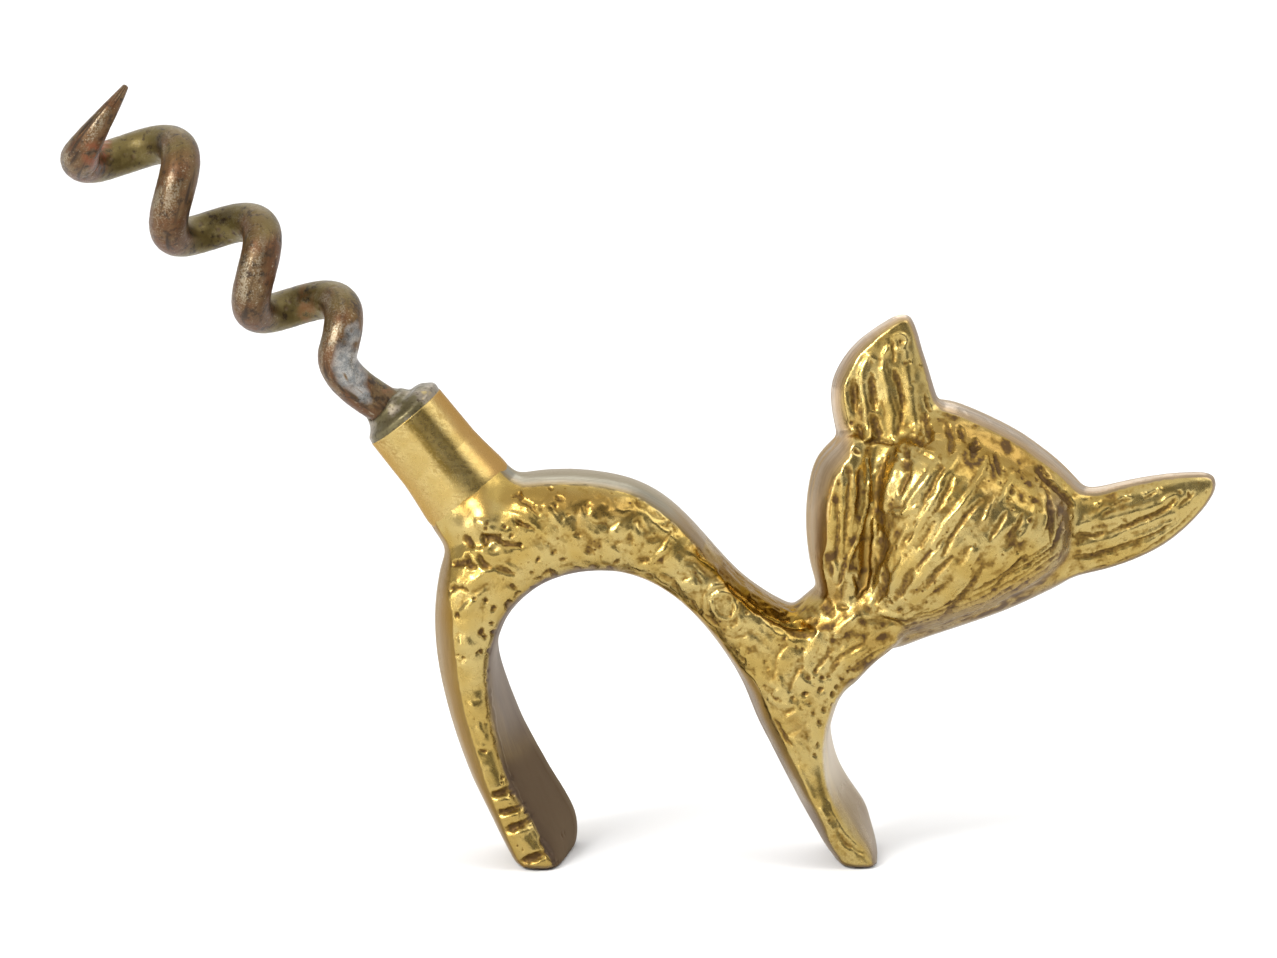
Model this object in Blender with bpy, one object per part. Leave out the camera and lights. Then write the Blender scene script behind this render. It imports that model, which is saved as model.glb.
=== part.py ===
"""Figural corkscrew: a cast brass cat that stands on its paws, with a steel worm for a tail.

All lengths are in metres. X runs from the tip of the worm to the cat's right ear, Y from the back of the
head to the face, and Z is up. The paws stand on Z = 0, and the origin lies under the middle of the object.
"""

import math

import bmesh
import bpy
from mathutils import Matrix, Vector

# Casting, overall
CASTING_LENGTH = 0.0729  # heel of the hind leg to the tip of the outer ear
CASTING_HEIGHT = 0.0517  # soles to the tip of the upper ear
HEEL_FROM_ORIGIN = 0.0193  # how far the heel lies behind the origin
MIDPLANE_FROM_ORIGIN = -0.0011  # place of the casting's parting plane along Y
CASTING_FINENESS = 0.0004  # voxel in which the modelled forms run together
SKIN_SHARE = 0.105  # share of the fused faces that the finished skin keeps
TOOL_OVERRUN = 0.002  # how far every cutter reaches past the metal

# Body and legs
BODY_WIDTH = 0.0128
HIND_PAW_STEP = 0.0043  # how far the far hind paw stands ahead of the near one
FORE_PAW_STEP = 0.0025
BODY_SQUARENESS = 2.8  # exponent of the oval sections, 2 being an ellipse
LEG_FRONT_SQUARENESS = 4.4  # the same for the sides of the legs that face forwards

# Head, about its own middle
HEAD_BACK = 0.0092  # parting plane to the back of the skull
HEAD_FRONT = 0.0082  # parting plane to the brow
HEAD_TILT = math.radians(61)  # direction of the crown above +X
MUZZLE_WIDTH = 0.0100
MUZZLE_HEIGHT = 0.0070
MUZZLE_DROP = 0.0058  # how far the muzzle lies below the head's middle
MUZZLE_REACH = 0.0026  # how far the muzzle stands out of the face
NOSE_WIDTH = 0.0036
EYE_SPACING = 0.0112
EYE_RISE = 0.0014  # how far the eyes lie above the head's middle
EYE_WIDTH = 0.0054
EYE_HEIGHT = 0.0032
EYE_SLANT = math.radians(14)
CHEEK_DEPTH = 0.0056  # parting plane to the back of the cheek
CHEEK_SQUARENESS = 2.6

# Ears
EAR_BASE_THICKNESS = 0.0062
EAR_TIP_THICKNESS = 0.0022
EAR_SQUARENESS = 2.6
EAR_SCOOP_DEPTH = 0.0022  # hollow of the ear, on the face's side

# Ferrule and the boss that carries it
FERRULE_TILT = math.radians(128.5)  # direction of its mouth above +X
FERRULE_MOUTH_RADIUS = 0.00408
FERRULE_BASE_RADIUS = 0.00420
FERRULE_LENGTH = 0.0104  # seat on the boss to the mouth
FERRULE_SPIGOT_RADIUS = 0.00325
FERRULE_SPIGOT_LENGTH = 0.0022
FERRULE_BORE_RADIUS = 0.00262
FERRULE_BORE_DEPTH = 0.0085
FERRULE_EDGE = 0.00035  # rounding of the mouth's outer edge
BOSS_RADIUS = 0.0047
BOSS_ROOT_RADIUS = 0.0052
BOSS_LENGTH = 0.0052  # how deep the boss reaches into the rump
BRAZE_HEIGHT = 0.0009
BRAZE_WIDTH = 0.0005
BRAZE_ROOM = 0.00036  # between the braze and the rump, where the boss is faced

# Worm
WIRE_RADIUS = 0.00186
COIL_RADIUS = 0.00292  # middle of the wire in the first turn
COIL_GROWTH = 0.0002  # how much wider the last turn is
WORM_PITCH = 0.01042
WORM_SWEEP = math.radians(1133)  # from the near side of the first turn to the point
WORM_TILT = math.radians(136.1)  # direction of its point above +X
WORM_OFFSET = 0.00038  # how far the worm's axis runs above the middle of the ferrule's mouth
LEAD_IN_LENGTH = 0.0088  # mouth of the ferrule to the first turn, along the worm
LEAD_IN_PULL_SHARE = 0.80  # how far the lead-in keeps the direction of each of its ends
SHANK_DEPTH = 0.0080  # how deep the straight shank stands in the ferrule
SHANK_BEND = math.radians(28)  # how far the wire is bent down where it leaves the ferrule
POINT_TURN = math.radians(118)  # part of a turn that tapers to the point
POINT_PITCH_SHARE = 0.46  # the tapered part winds this much closer than the rest
POINT_RADIUS = 0.00034
POINT_FLARE = 0.0023  # how far the point stands out from the turns' middle line
FLARE_TURN = math.radians(215)  # part of a turn over which it does

# Solder round the shank
SOLDER_HEIGHT = 0.0034
SOLDER_SINK = 0.0030  # how far it runs down the bore
SOLDER_LEAN = 0.0011  # how far its top leans after the bent wire

# Clearances
FIT_GAP = 0.00006  # between two machined or poured surfaces
SEAT_GAP = 0.0001  # between the boss and what stands on it

# Fineness of the round pieces
RING_POINTS = 28
TURNED_STEPS = 48
WIRE_SIDES = 14
POINTS_PER_TURN = 26

# Sections across the hind leg, the back and the fore leg, from sole to sole. Each row holds a place on the
# outer edge, the place across from it on the inner edge, a share of the body's width, and a share of the
# paw's step. Places are shares of the casting's length and height.
LIMB_SHARES = (
    (0.113, -0.040, 0.160, -0.007, 1.12, 0.36),
    (0.103, -0.009, 0.150, 0.029, 1.13, 0.67),
    (0.083, 0.043, 0.131, 0.073, 1.12, 0.94),
    (0.064, 0.099, 0.103, 0.134, 1.08, 1.00),
    (0.046, 0.149, 0.089, 0.184, 1.03, 0.89),
    (0.030, 0.208, 0.079, 0.239, 0.98, 0.69),
    (0.015, 0.276, 0.072, 0.308, 0.95, 0.44),
    (0.003, 0.352, 0.073, 0.359, 0.94, 0.19),
    (-0.002, 0.420, 0.078, 0.399, 0.95, 0.04),
    (0.000, 0.490, 0.091, 0.448, 0.97, 0.00),
    (0.013, 0.567, 0.113, 0.485, 1.00, 0.00),
    (0.045, 0.641, 0.137, 0.509, 1.00, 0.00),
    (0.089, 0.692, 0.163, 0.523, 1.00, 0.00),
    (0.140, 0.707, 0.193, 0.531, 1.00, 0.00),
    (0.197, 0.706, 0.227, 0.531, 1.00, 0.00),
    (0.251, 0.691, 0.253, 0.522, 0.98, 0.00),
    (0.292, 0.661, 0.275, 0.509, 0.95, 0.00),
    (0.327, 0.616, 0.297, 0.491, 0.93, 0.00),
    (0.358, 0.565, 0.320, 0.465, 0.92, 0.00),
    (0.391, 0.515, 0.345, 0.427, 0.92, 0.00),
    (0.431, 0.474, 0.372, 0.375, 0.93, 0.00),
    (0.486, 0.431, 0.394, 0.319, 0.94, 0.00),
    (0.537, 0.363, 0.410, 0.260, 0.95, 0.00),
    (0.517, 0.304, 0.426, 0.217, 0.93, 0.04),
    (0.504, 0.250, 0.440, 0.178, 0.91, 0.14),
    (0.501, 0.204, 0.453, 0.143, 0.91, 0.36),
    (0.502, 0.163, 0.466, 0.108, 0.95, 0.64),
    (0.510, 0.125, 0.481, 0.071, 1.00, 0.89),
    (0.527, 0.083, 0.496, 0.034, 1.03, 1.00),
    (0.546, 0.048, 0.513, 0.001, 1.03, 0.57),
    (0.561, 0.024, 0.527, -0.024, 1.00, 0.21),
    (0.569, -0.000, 0.536, -0.044, 0.99, 0.00),
)
HIND_LEG_ROWS = 16  # rows before this one belong to the hind half, which takes the hind paw's step

# Sections across the neck, from the shoulder into the head, in the same form
NECK_SHARES = (
    (0.405, 0.398, 0.435, 0.321, 0.80, 0.0),
    (0.462, 0.464, 0.520, 0.313, 0.94, 0.0),
    (0.487, 0.493, 0.558, 0.361, 0.97, 0.0),
    (0.545, 0.523, 0.596, 0.405, 0.97, 0.0),
)

# Sections across the cheek, from the upper ear down to the neck: its outer edge, the edge inside the skull,
# and a share of its depth
CHEEK_SHARES = (
    (0.519, 0.778, 0.560, 0.786, 0.72),
    (0.487, 0.733, 0.560, 0.739, 0.92),
    (0.475, 0.673, 0.563, 0.672, 1.00),
    (0.473, 0.612, 0.565, 0.612, 1.00),
    (0.477, 0.552, 0.562, 0.554, 0.98),
    (0.489, 0.493, 0.554, 0.500, 0.97),
    (0.507, 0.449, 0.549, 0.460, 0.90),
    (0.530, 0.409, 0.552, 0.423, 0.80),
)

# Sections across the two ears, from the head to the tip: a place on each edge
UPPER_EAR_SHARES = (
    (0.519, 0.724, 0.647, 0.764),
    (0.513, 0.767, 0.645, 0.796),
    (0.505, 0.815, 0.641, 0.833),
    (0.503, 0.858, 0.634, 0.873),
    (0.513, 0.900, 0.627, 0.905),
    (0.534, 0.940, 0.619, 0.940),
    (0.560, 0.969, 0.614, 0.967),
    (0.587, 0.992, 0.605, 0.992),
)
OUTER_EAR_SHARES = (
    (0.798, 0.707, 0.786, 0.493),
    (0.831, 0.678, 0.822, 0.517),
    (0.862, 0.685, 0.854, 0.526),
    (0.897, 0.696, 0.896, 0.546),
    (0.932, 0.704, 0.934, 0.574),
    (0.961, 0.707, 0.964, 0.610),
    (0.984, 0.707, 0.987, 0.647),
    (0.997, 0.698, 0.997, 0.673),
)

# Outline of the head on the parting plane, and of the skull behind it, round their common middle
HEAD_MIDDLE_SHARES = (0.655, 0.618)
HEAD_OUTLINE_SHARES = (
    (0.473, 0.618), (0.476, 0.554), (0.490, 0.490), (0.524, 0.424), (0.572, 0.376), (0.623, 0.398),
    (0.674, 0.422), (0.725, 0.447), (0.776, 0.480), (0.817, 0.513), (0.838, 0.563), (0.843, 0.627),
    (0.830, 0.674), (0.799, 0.722), (0.773, 0.751), (0.746, 0.778), (0.713, 0.802), (0.678, 0.824),
    (0.644, 0.836), (0.599, 0.822), (0.555, 0.796), (0.511, 0.769), (0.486, 0.725), (0.476, 0.673),
)
SKULL_OUTLINE_SHARES = (
    (0.551, 0.718), (0.546, 0.627), (0.543, 0.545), (0.543, 0.474), (0.567, 0.409), (0.615, 0.419),
    (0.672, 0.445), (0.723, 0.474), (0.773, 0.507), (0.807, 0.551), (0.816, 0.591), (0.814, 0.636),
    (0.803, 0.673), (0.782, 0.702), (0.744, 0.734), (0.700, 0.771), (0.661, 0.794), (0.623, 0.798),
    (0.582, 0.776),
)
# Slices of the head along Y: a share of the depth to the back (negative) or to the front, and how large the
# outline is there
HEAD_SLICE_SHARES = (
    (-0.42, 0.72), (-0.38, 0.80), (-0.29, 0.88), (-0.16, 0.95), (0.00, 0.99), (0.14, 1.00), (0.34, 0.98),
    (0.56, 0.93), (0.75, 0.84), (0.90, 0.69), (0.98, 0.48), (1.00, 0.25),
)
SKULL_SLICE_SHARES = (
    (-1.00, 0.18), (-0.97, 0.38), (-0.88, 0.60), (-0.73, 0.77), (-0.52, 0.90), (-0.26, 0.98),
    (0.00, 1.00), (0.20, 0.96),
)
FERRULE_MOUTH_SHARES = (-0.0383, 0.8080)


def cast_place(along, up, y=0.0):
    """A place on the casting, given as shares of its length and height, and a distance from the parting plane."""
    x = along * CASTING_LENGTH - HEEL_FROM_ORIGIN
    return Vector((x, MIDPLANE_FROM_ORIGIN + y, up * CASTING_HEIGHT))


def direction(angle):
    """The unit vector in the XZ plane that points this far above +X."""
    return Vector((math.cos(angle), 0.0, math.sin(angle)))


def blended(rows, steps):
    """The rows of a table with steps - 1 smooth rows put between each two, by Catmull-Rom."""
    made = []
    last = len(rows) - 1
    for i in range(last):
        before, here, there, after = rows[max(i - 1, 0)], rows[i], rows[i + 1], rows[min(i + 2, last)]
        for k in range(steps):
            t = k / steps
            made.append(tuple(
                0.5 * (2 * b + (c - a) * t + (2 * a - 5 * b + 4 * c - d) * t**2 + (3 * b - a - 3 * c + d) * t**3)
                for a, b, c, d in zip(before, here, there, after)
            ))
    made.append(tuple(rows[last]))
    return made


def oval(outer, inner, half_depth, lean=0.0, squareness=BODY_SQUARENESS, front_squareness=None):
    """A ring that spans two places and reaches half_depth to each side along Y.

    The side that faces +X leans that way towards the far end, and can be squarer than the other.
    """
    middle, reach = (outer + inner) / 2, (outer - inner) / 2
    facing = reach.normalized().x
    ring = []
    for k in range(RING_POINTS):
        angle = 2 * math.pi * k / RING_POINTS
        c, s = math.cos(angle), math.sin(angle)
        front = max(math.copysign(facing, facing * c), 0.0)
        power = squareness + ((front_squareness or squareness) - squareness) * front
        across = math.copysign(abs(c) ** (2 / power), c)
        depth = math.copysign(abs(s) ** (2 / power), s)
        shift = lean * (1 + depth) / 2 * (1 + math.copysign(across, facing * c)) / 2
        ring.append(middle + reach * across + Vector((shift, half_depth * depth, 0.0)))
    return ring


def add_loft(mesh, rings):
    """Adds a closed skin through the rings to a bmesh."""
    rows = [[mesh.verts.new(p) for p in ring] for ring in rings]
    faces = [mesh.faces.new(rows[0][::-1]), mesh.faces.new(rows[-1])]
    for low, high in zip(rows, rows[1:]):
        for k in range(len(low)):
            n = (k + 1) % len(low)
            faces.append(mesh.faces.new((low[k], low[n], high[n], high[k])))
    bmesh.ops.recalc_face_normals(mesh, faces=faces)


def new_object(name, mesh, material=None, smooth=math.radians(40)):
    """Turns a bmesh into an object of the scene."""
    data = bpy.data.meshes.new(name)
    mesh.to_mesh(data)
    mesh.free()
    data.shade_smooth()
    data.set_sharp_from_angle(angle=smooth)
    made = bpy.data.objects.new(name, data)
    bpy.context.scene.collection.objects.link(made)
    if material:
        data.materials.append(material)
    return made


def metal(name, colour, roughness):
    """A plain metal finish."""
    finish = bpy.data.materials.new(name)
    finish.use_nodes = True
    shader = finish.node_tree.nodes["Principled BSDF"]
    shader.inputs["Base Color"].default_value = (*colour, 1.0)
    shader.inputs["Metallic"].default_value = 1.0
    shader.inputs["Roughness"].default_value = roughness
    return finish


def turned(name, profile, base, axis_angle, material=None, steps=TURNED_STEPS):
    """A closed (radius, height) profile spun about an axis in the XZ plane that starts at base."""
    mesh = bmesh.new()
    rows = []
    for k in range(steps):
        angle = 2 * math.pi * k / steps
        rows.append([Vector((r * math.cos(angle), r * math.sin(angle), z)) for r, z in profile])
    poles = [mesh.verts.new(Vector((0.0, 0.0, z))) if r == 0 else None for r, z in profile]
    points = [[poles[i] or mesh.verts.new(p) for i, p in enumerate(row)] for row in rows]
    for k, row in enumerate(points):
        after = points[(k + 1) % steps]
        for i in range(len(row)):
            n = (i + 1) % len(row)
            corners = []
            for corner in (row[i], after[i], after[n], row[n]):
                if corner not in corners:
                    corners.append(corner)
            if len(corners) > 2:
                mesh.faces.new(corners)
    bmesh.ops.recalc_face_normals(mesh, faces=mesh.faces)
    made = new_object(name, mesh, material)
    made.rotation_euler = (0.0, math.radians(90) - axis_angle, 0.0)
    made.location = base
    return made


def as_tool(made):
    """Marks an object as a cutter, which isn't part of the corkscrew."""
    made.hide_render = True
    made.display_type = "WIRE"
    return made


def cut(target, tool):
    """Takes a cutter away from a piece."""
    step = target.modifiers.new("cut " + tool.name, "BOOLEAN")
    step.operation = "DIFFERENCE"
    step.solver = "EXACT"
    step.object = as_tool(tool)


def add_limbs(mesh):
    """The hind leg, the back and the fore leg as one ribbon, and the neck."""
    for table, steps in ((LIMB_SHARES, 2), (NECK_SHARES, 3)):
        rings = []
        rows = blended(table, steps)
        for i, (ox, oz, ix, iz, width, step) in enumerate(rows):
            hind = i < HIND_LEG_ROWS * steps
            lean = step * (HIND_PAW_STEP if hind else FORE_PAW_STEP)
            outer, inner = cast_place(ox, oz), cast_place(ix, iz)
            rings.append(oval(outer, inner, width * BODY_WIDTH / 2, lean, front_squareness=LEG_FRONT_SQUARENESS))
        add_loft(mesh, rings)


def head_place(outwards, up, front):
    """A place on the head, in its own axes, from its middle."""
    side, crown = head_axes()
    return cast_place(*HEAD_MIDDLE_SHARES) + side * outwards + crown * up + Vector((0.0, front, 0.0))


def head_axes():
    """The direction to the head's outer side, and the direction of its crown."""
    return direction(HEAD_TILT - math.radians(90)), direction(HEAD_TILT)


def add_sliced(mesh, outline, slices):
    """Adds the outline at several sizes along Y, as one skin."""
    closed = blended([*outline, outline[0]], 2)[:-1]
    middle = cast_place(*HEAD_MIDDLE_SHARES)
    rings = []
    for share, size in blended(slices, 2):
        y = share * (HEAD_FRONT if share > 0 else HEAD_BACK)
        centre = middle + Vector((0.0, y, 0.0))
        rings.append([centre + (cast_place(a, u) - middle) * size for a, u in closed])
    add_loft(mesh, rings)


def add_egg(mesh, centre, half_sides, slant=0.0):
    """Adds an ellipsoid that follows the head's own axes, slanted about the line out of the face."""
    face = Vector((0.0, 1.0, 0.0))
    axes = [Matrix.Rotation(slant, 3, face) @ axis for axis in head_axes()]
    turned_by = Matrix((*axes, face)).transposed().to_4x4()
    grown = Matrix.Diagonal(Vector(half_sides)).to_4x4()
    place = Matrix.Translation(centre) @ turned_by @ grown
    bmesh.ops.create_icosphere(mesh, subdivisions=3, radius=1.0, matrix=place)


def add_face(mesh):
    """Muzzle with its whisker pads, cheeks, eyes, brows, nose and chin, on the far side of the head."""
    width, height, reach = MUZZLE_WIDTH, MUZZLE_HEIGHT, MUZZLE_REACH
    add_egg(mesh, head_place(0.0, -MUZZLE_DROP, HEAD_FRONT - 0.7 * reach), (0.52 * width, 0.58 * height, 1.25 * reach))
    for side in (-1, 1):
        pad = head_place(side * 0.21 * width, -MUZZLE_DROP - 0.08 * height, HEAD_FRONT - 0.3 * reach)
        add_egg(mesh, pad, (0.27 * width, 0.34 * height, 1.3 * reach))
        cheek = head_place(side * 0.60 * width, -MUZZLE_DROP + 0.35 * height, HEAD_FRONT - 1.3 * reach)
        add_egg(mesh, cheek, (0.28 * width, 0.46 * height, 1.15 * reach), side * EYE_SLANT)
        eye = head_place(side * 0.5 * EYE_SPACING, EYE_RISE, HEAD_FRONT - 0.25 * EYE_HEIGHT)
        add_egg(mesh, eye, (0.5 * EYE_WIDTH, 0.5 * EYE_HEIGHT, 0.55 * EYE_HEIGHT), -side * EYE_SLANT)
        brow = head_place(side * 0.5 * EYE_SPACING, EYE_RISE + 0.95 * EYE_HEIGHT, HEAD_FRONT - 0.4 * EYE_HEIGHT)
        add_egg(mesh, brow, (0.66 * EYE_WIDTH, 0.32 * EYE_HEIGHT, 0.6 * EYE_HEIGHT), -side * EYE_SLANT)
    chin = head_place(0.0, -MUZZLE_DROP - 0.50 * height, HEAD_FRONT - 0.9 * reach)
    add_egg(mesh, chin, (0.25 * width, 0.24 * height, 1.3 * reach))
    bridge = head_place(0.0, -MUZZLE_DROP + 0.66 * height, HEAD_FRONT - 0.9 * reach)
    add_egg(mesh, bridge, (0.18 * width, 0.85 * height, 1.4 * reach))
    nose = head_place(0.0, -MUZZLE_DROP + 0.24 * height, HEAD_FRONT + 0.75 * reach)
    add_egg(mesh, nose, (0.5 * NOSE_WIDTH, 0.34 * NOSE_WIDTH, 0.42 * NOSE_WIDTH))


def add_cheek(mesh):
    """The roll of the cheek, which stands behind the parting plane and leaves a groove beside the skull."""
    rings = []
    for ox, oz, ix, iz, depth in blended(CHEEK_SHARES, 3):
        outer, inner = cast_place(ox, oz), cast_place(ix, iz)
        rings.append(oval(outer, inner, depth * CHEEK_DEPTH, squareness=CHEEK_SQUARENESS))
    add_loft(mesh, rings)


def add_ear(mesh, table):
    """An ear that thins towards its tip and is hollow on the face's side."""
    rings = []
    rows = blended(table, 2)
    for i, (ax, az, bx, bz) in enumerate(rows):
        part = i / (len(rows) - 1)
        half = (EAR_BASE_THICKNESS * (1 - part) + EAR_TIP_THICKNESS * part) / 2
        a, b = cast_place(ax, az), cast_place(bx, bz)
        ring = oval(a, b, half, squareness=EAR_SQUARENESS)
        middle, reach = (a + b) / 2, (a - b).length / 2
        for place in ring:
            across = (Vector((place.x, middle.y, place.z)) - middle).length / reach
            if place.y > middle.y:
                place.y -= EAR_SCOOP_DEPTH * (1 - across**2) * math.sin(math.pi * part**0.8)
        rings.append(ring)
    add_loft(mesh, rings)


def ferrule_mouth():
    """The middle of the ferrule's mouth."""
    return cast_place(*FERRULE_MOUTH_SHARES)


def along_ferrule(distance):
    """A place on the ferrule's axis, this far outside its mouth."""
    return ferrule_mouth() + direction(FERRULE_TILT) * distance


def add_boss(mesh):
    """The boss on the rump, a little longer than it is left after its face is cut."""
    profile = (
        (0.0, BOSS_ROOT_RADIUS * 1.05), (0.45, BOSS_ROOT_RADIUS), (0.8, BOSS_RADIUS * 1.02), (1.0, BOSS_RADIUS),
        (1.25, BOSS_RADIUS),
    )
    side = direction(FERRULE_TILT - math.radians(90))
    rings = []
    for share, radius in profile:
        centre = along_ferrule(-FERRULE_LENGTH - BOSS_LENGTH * (1 - share))
        rings.append(oval(centre + side * radius, centre - side * radius, radius, squareness=2.0))
    add_loft(mesh, rings)


def block(name, low, high):
    """A box between two corners."""
    mesh = bmesh.new()
    bmesh.ops.create_cube(mesh, size=1.0)
    for v in mesh.verts:
        v.co = Vector(tuple(a + (b - a) * (c + 0.5) for a, b, c in zip(low, high, v.co)))
    return new_object(name, mesh)


def build_casting(material):
    """The cat: every form is run together, smoothed as a pattern maker would, and then machined."""
    mesh = bmesh.new()
    add_limbs(mesh)
    add_boss(mesh)
    add_sliced(mesh, HEAD_OUTLINE_SHARES, HEAD_SLICE_SHARES)
    add_sliced(mesh, SKULL_OUTLINE_SHARES, SKULL_SLICE_SHARES)
    add_face(mesh)
    add_cheek(mesh)
    add_ear(mesh, UPPER_EAR_SHARES)
    add_ear(mesh, OUTER_EAR_SHARES)
    casting = new_object("cat_casting", mesh, material)

    fuse = casting.modifiers.new("fuse", "REMESH")
    fuse.mode = "VOXEL"
    fuse.voxel_size = CASTING_FINENESS
    fuse.use_smooth_shade = True
    soften = casting.modifiers.new("soften", "SMOOTH")
    soften.factor = 0.5
    soften.iterations = 5
    lighten = casting.modifiers.new("lighten", "DECIMATE")
    lighten.ratio = SKIN_SHARE

    reach = CASTING_LENGTH + TOOL_OVERRUN
    cut(casting, block("sole_tool", (-reach, -reach, -reach), (reach, reach, 0.0)))
    seat = along_ferrule(-FERRULE_LENGTH)
    clear_radius = FERRULE_BASE_RADIUS + FIT_GAP + BRAZE_WIDTH + BRAZE_ROOM
    hole_radius = FERRULE_SPIGOT_RADIUS + FIT_GAP
    hole_depth = FERRULE_SPIGOT_LENGTH + FIT_GAP
    profile = (
        (0.0, -hole_depth), (hole_radius, -hole_depth), (hole_radius, 0.0), (clear_radius, 0.0),
        (clear_radius, BOSS_LENGTH), (0.0, BOSS_LENGTH),
    )
    cut(casting, turned("seat_tool", profile, seat, FERRULE_TILT))
    return casting


def build_ferrule(material):
    """The smooth sleeve that holds the worm's shank, with a spigot that goes into the boss."""
    low, mouth = SEAT_GAP, FERRULE_MOUTH_RADIUS
    profile = (
        (0.0, -FERRULE_SPIGOT_LENGTH), (FERRULE_SPIGOT_RADIUS, -FERRULE_SPIGOT_LENGTH),
        (FERRULE_SPIGOT_RADIUS, low), (FERRULE_BASE_RADIUS, low), (mouth, FERRULE_LENGTH - FERRULE_EDGE),
        (mouth - FERRULE_EDGE * 0.3, FERRULE_LENGTH - FERRULE_EDGE * 0.3),
        (mouth - FERRULE_EDGE, FERRULE_LENGTH), (FERRULE_BORE_RADIUS, FERRULE_LENGTH),
        (FERRULE_BORE_RADIUS, FERRULE_LENGTH - FERRULE_BORE_DEPTH),
        (0.0, FERRULE_LENGTH - FERRULE_BORE_DEPTH),
    )
    return turned("worm_ferrule", profile, along_ferrule(-FERRULE_LENGTH), FERRULE_TILT, material)


def build_braze(material):
    """The ring of brazing metal in the corner between the ferrule and the boss."""
    inner = FERRULE_BASE_RADIUS + FIT_GAP
    profile = (
        (inner, SEAT_GAP), (inner + BRAZE_WIDTH, SEAT_GAP), (inner + BRAZE_WIDTH * 0.35, BRAZE_HEIGHT * 0.45),
        (inner + BRAZE_WIDTH * 0.1, BRAZE_HEIGHT), (inner, BRAZE_HEIGHT),
    )
    return turned("braze_ring", profile, along_ferrule(-FERRULE_LENGTH), FERRULE_TILT, material)


def build_solder(material):
    """Soft solder: a plug in the bore, and a hollow-sided mound from the mouth up the bent wire."""
    rim = FERRULE_MOUTH_RADIUS - FERRULE_EDGE
    down = direction(FERRULE_TILT + math.radians(90))
    rings = []
    plug = FERRULE_BORE_RADIUS - FIT_GAP
    mound = (
        (0.02, 0.00, 1.00), (0.12, 0.00, 1.00), (0.22, 0.03, 0.94), (0.32, 0.12, 0.83), (0.46, 0.30, 0.72),
        (0.64, 0.55, 0.63), (0.82, 0.79, 0.56), (1.00, 1.00, 0.51),
    )
    levels = [(-SOLDER_SINK, 0.0, plug), (FIT_GAP, 0.0, plug)]
    levels += [(FIT_GAP + rise * SOLDER_HEIGHT, lean * SOLDER_LEAN, size * rim) for rise, lean, size in mound]
    side = direction(FERRULE_TILT - math.radians(90))
    far = Vector((0.0, 1.0, 0.0))
    for height, lean, radius in levels:
        centre = along_ferrule(height) + down * lean
        rings.append([
            centre + (side * math.cos(a) + far * math.sin(a)) * radius
            for a in (2 * math.pi * k / TURNED_STEPS for k in range(TURNED_STEPS))
        ])
    mesh = bmesh.new()
    add_loft(mesh, rings)
    solder = new_object("solder_mound", mesh, material)
    cut(solder, new_object("wire_tool", wire_mesh(FIT_GAP)))
    return solder


def worm_route():
    """Places along the worm's wire from the foot of the shank to the point, with the wire's radius at each."""
    worm_way = direction(WORM_TILT)
    upper = direction(WORM_TILT - math.radians(90))
    far = Vector((0.0, 1.0, 0.0))
    start = ferrule_mouth() + upper * WORM_OFFSET
    first = -math.radians(90)  # the near side of the worm
    taper_at = WORM_SWEEP - POINT_TURN

    def on_coil(swept):
        """The place on the wire's middle line after this much turning."""
        turn = first + swept
        even, close = min(swept, taper_at), max(swept - taper_at, 0.0)
        along = LEAD_IN_LENGTH + WORM_PITCH * (even + close * POINT_PITCH_SHARE) / (2 * math.pi)
        flare = max(swept - WORM_SWEEP + FLARE_TURN, 0.0) / FLARE_TURN
        radius = COIL_RADIUS + COIL_GROWTH * swept / WORM_SWEEP + POINT_FLARE * flare**1.15
        return start + worm_way * along + (upper * math.cos(turn) + far * math.sin(turn)) * radius

    shank_top = along_ferrule(0.0)
    bent_way = direction(FERRULE_TILT + SHANK_BEND)
    coil_foot = on_coil(0.0)
    coil_way = (on_coil(math.radians(1)) - coil_foot).normalized()
    places = [(along_ferrule(-SHANK_DEPTH), WIRE_RADIUS)]

    # The lead-in is a cubic from the bend at the ferrule's mouth to the first turn
    lead_steps = 10
    pull = (coil_foot - shank_top).length * LEAD_IN_PULL_SHARE
    for k in range(lead_steps):
        t = k / lead_steps
        h0, h1 = 2 * t**3 - 3 * t**2 + 1, t**3 - 2 * t**2 + t
        h2, h3 = 3 * t**2 - 2 * t**3, t**3 - t**2
        place = shank_top * h0 + bent_way * (pull * h1) + coil_foot * h2 + coil_way * (pull * h3)
        places.append((place, WIRE_RADIUS))

    # The coil, whose wire tapers over the last part of a turn
    count = round(WORM_SWEEP / (2 * math.pi) * POINTS_PER_TURN)
    for k in range(count + 1):
        swept = WORM_SWEEP * k / count
        t = max(swept - taper_at, 0.0) / POINT_TURN
        places.append((on_coil(swept), WIRE_RADIUS + (POINT_RADIUS - WIRE_RADIUS) * t**1.35))
    return places


def wire_mesh(grown=0.0):
    """The worm's wire as rings carried along its route without twisting, grown by an even amount."""
    places = worm_route()
    centres = [p for p, _ in places]
    normal = Vector((0.0, 1.0, 0.0))
    rings = []
    for i, (centre, radius) in enumerate(places):
        way = (centres[min(i + 1, len(centres) - 1)] - centres[max(i - 1, 0)]).normalized()
        normal = (normal - way * normal.dot(way)).normalized()
        side = way.cross(normal)
        rings.append([
            centre + (normal * math.cos(a) + side * math.sin(a)) * (radius + grown)
            for a in (2 * math.pi * k / WIRE_SIDES for k in range(WIRE_SIDES))
        ])
    mesh = bmesh.new()
    add_loft(mesh, rings)
    return mesh


def build_worm(material):
    """The steel wire."""
    return new_object("steel_worm", wire_mesh(), material)


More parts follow.
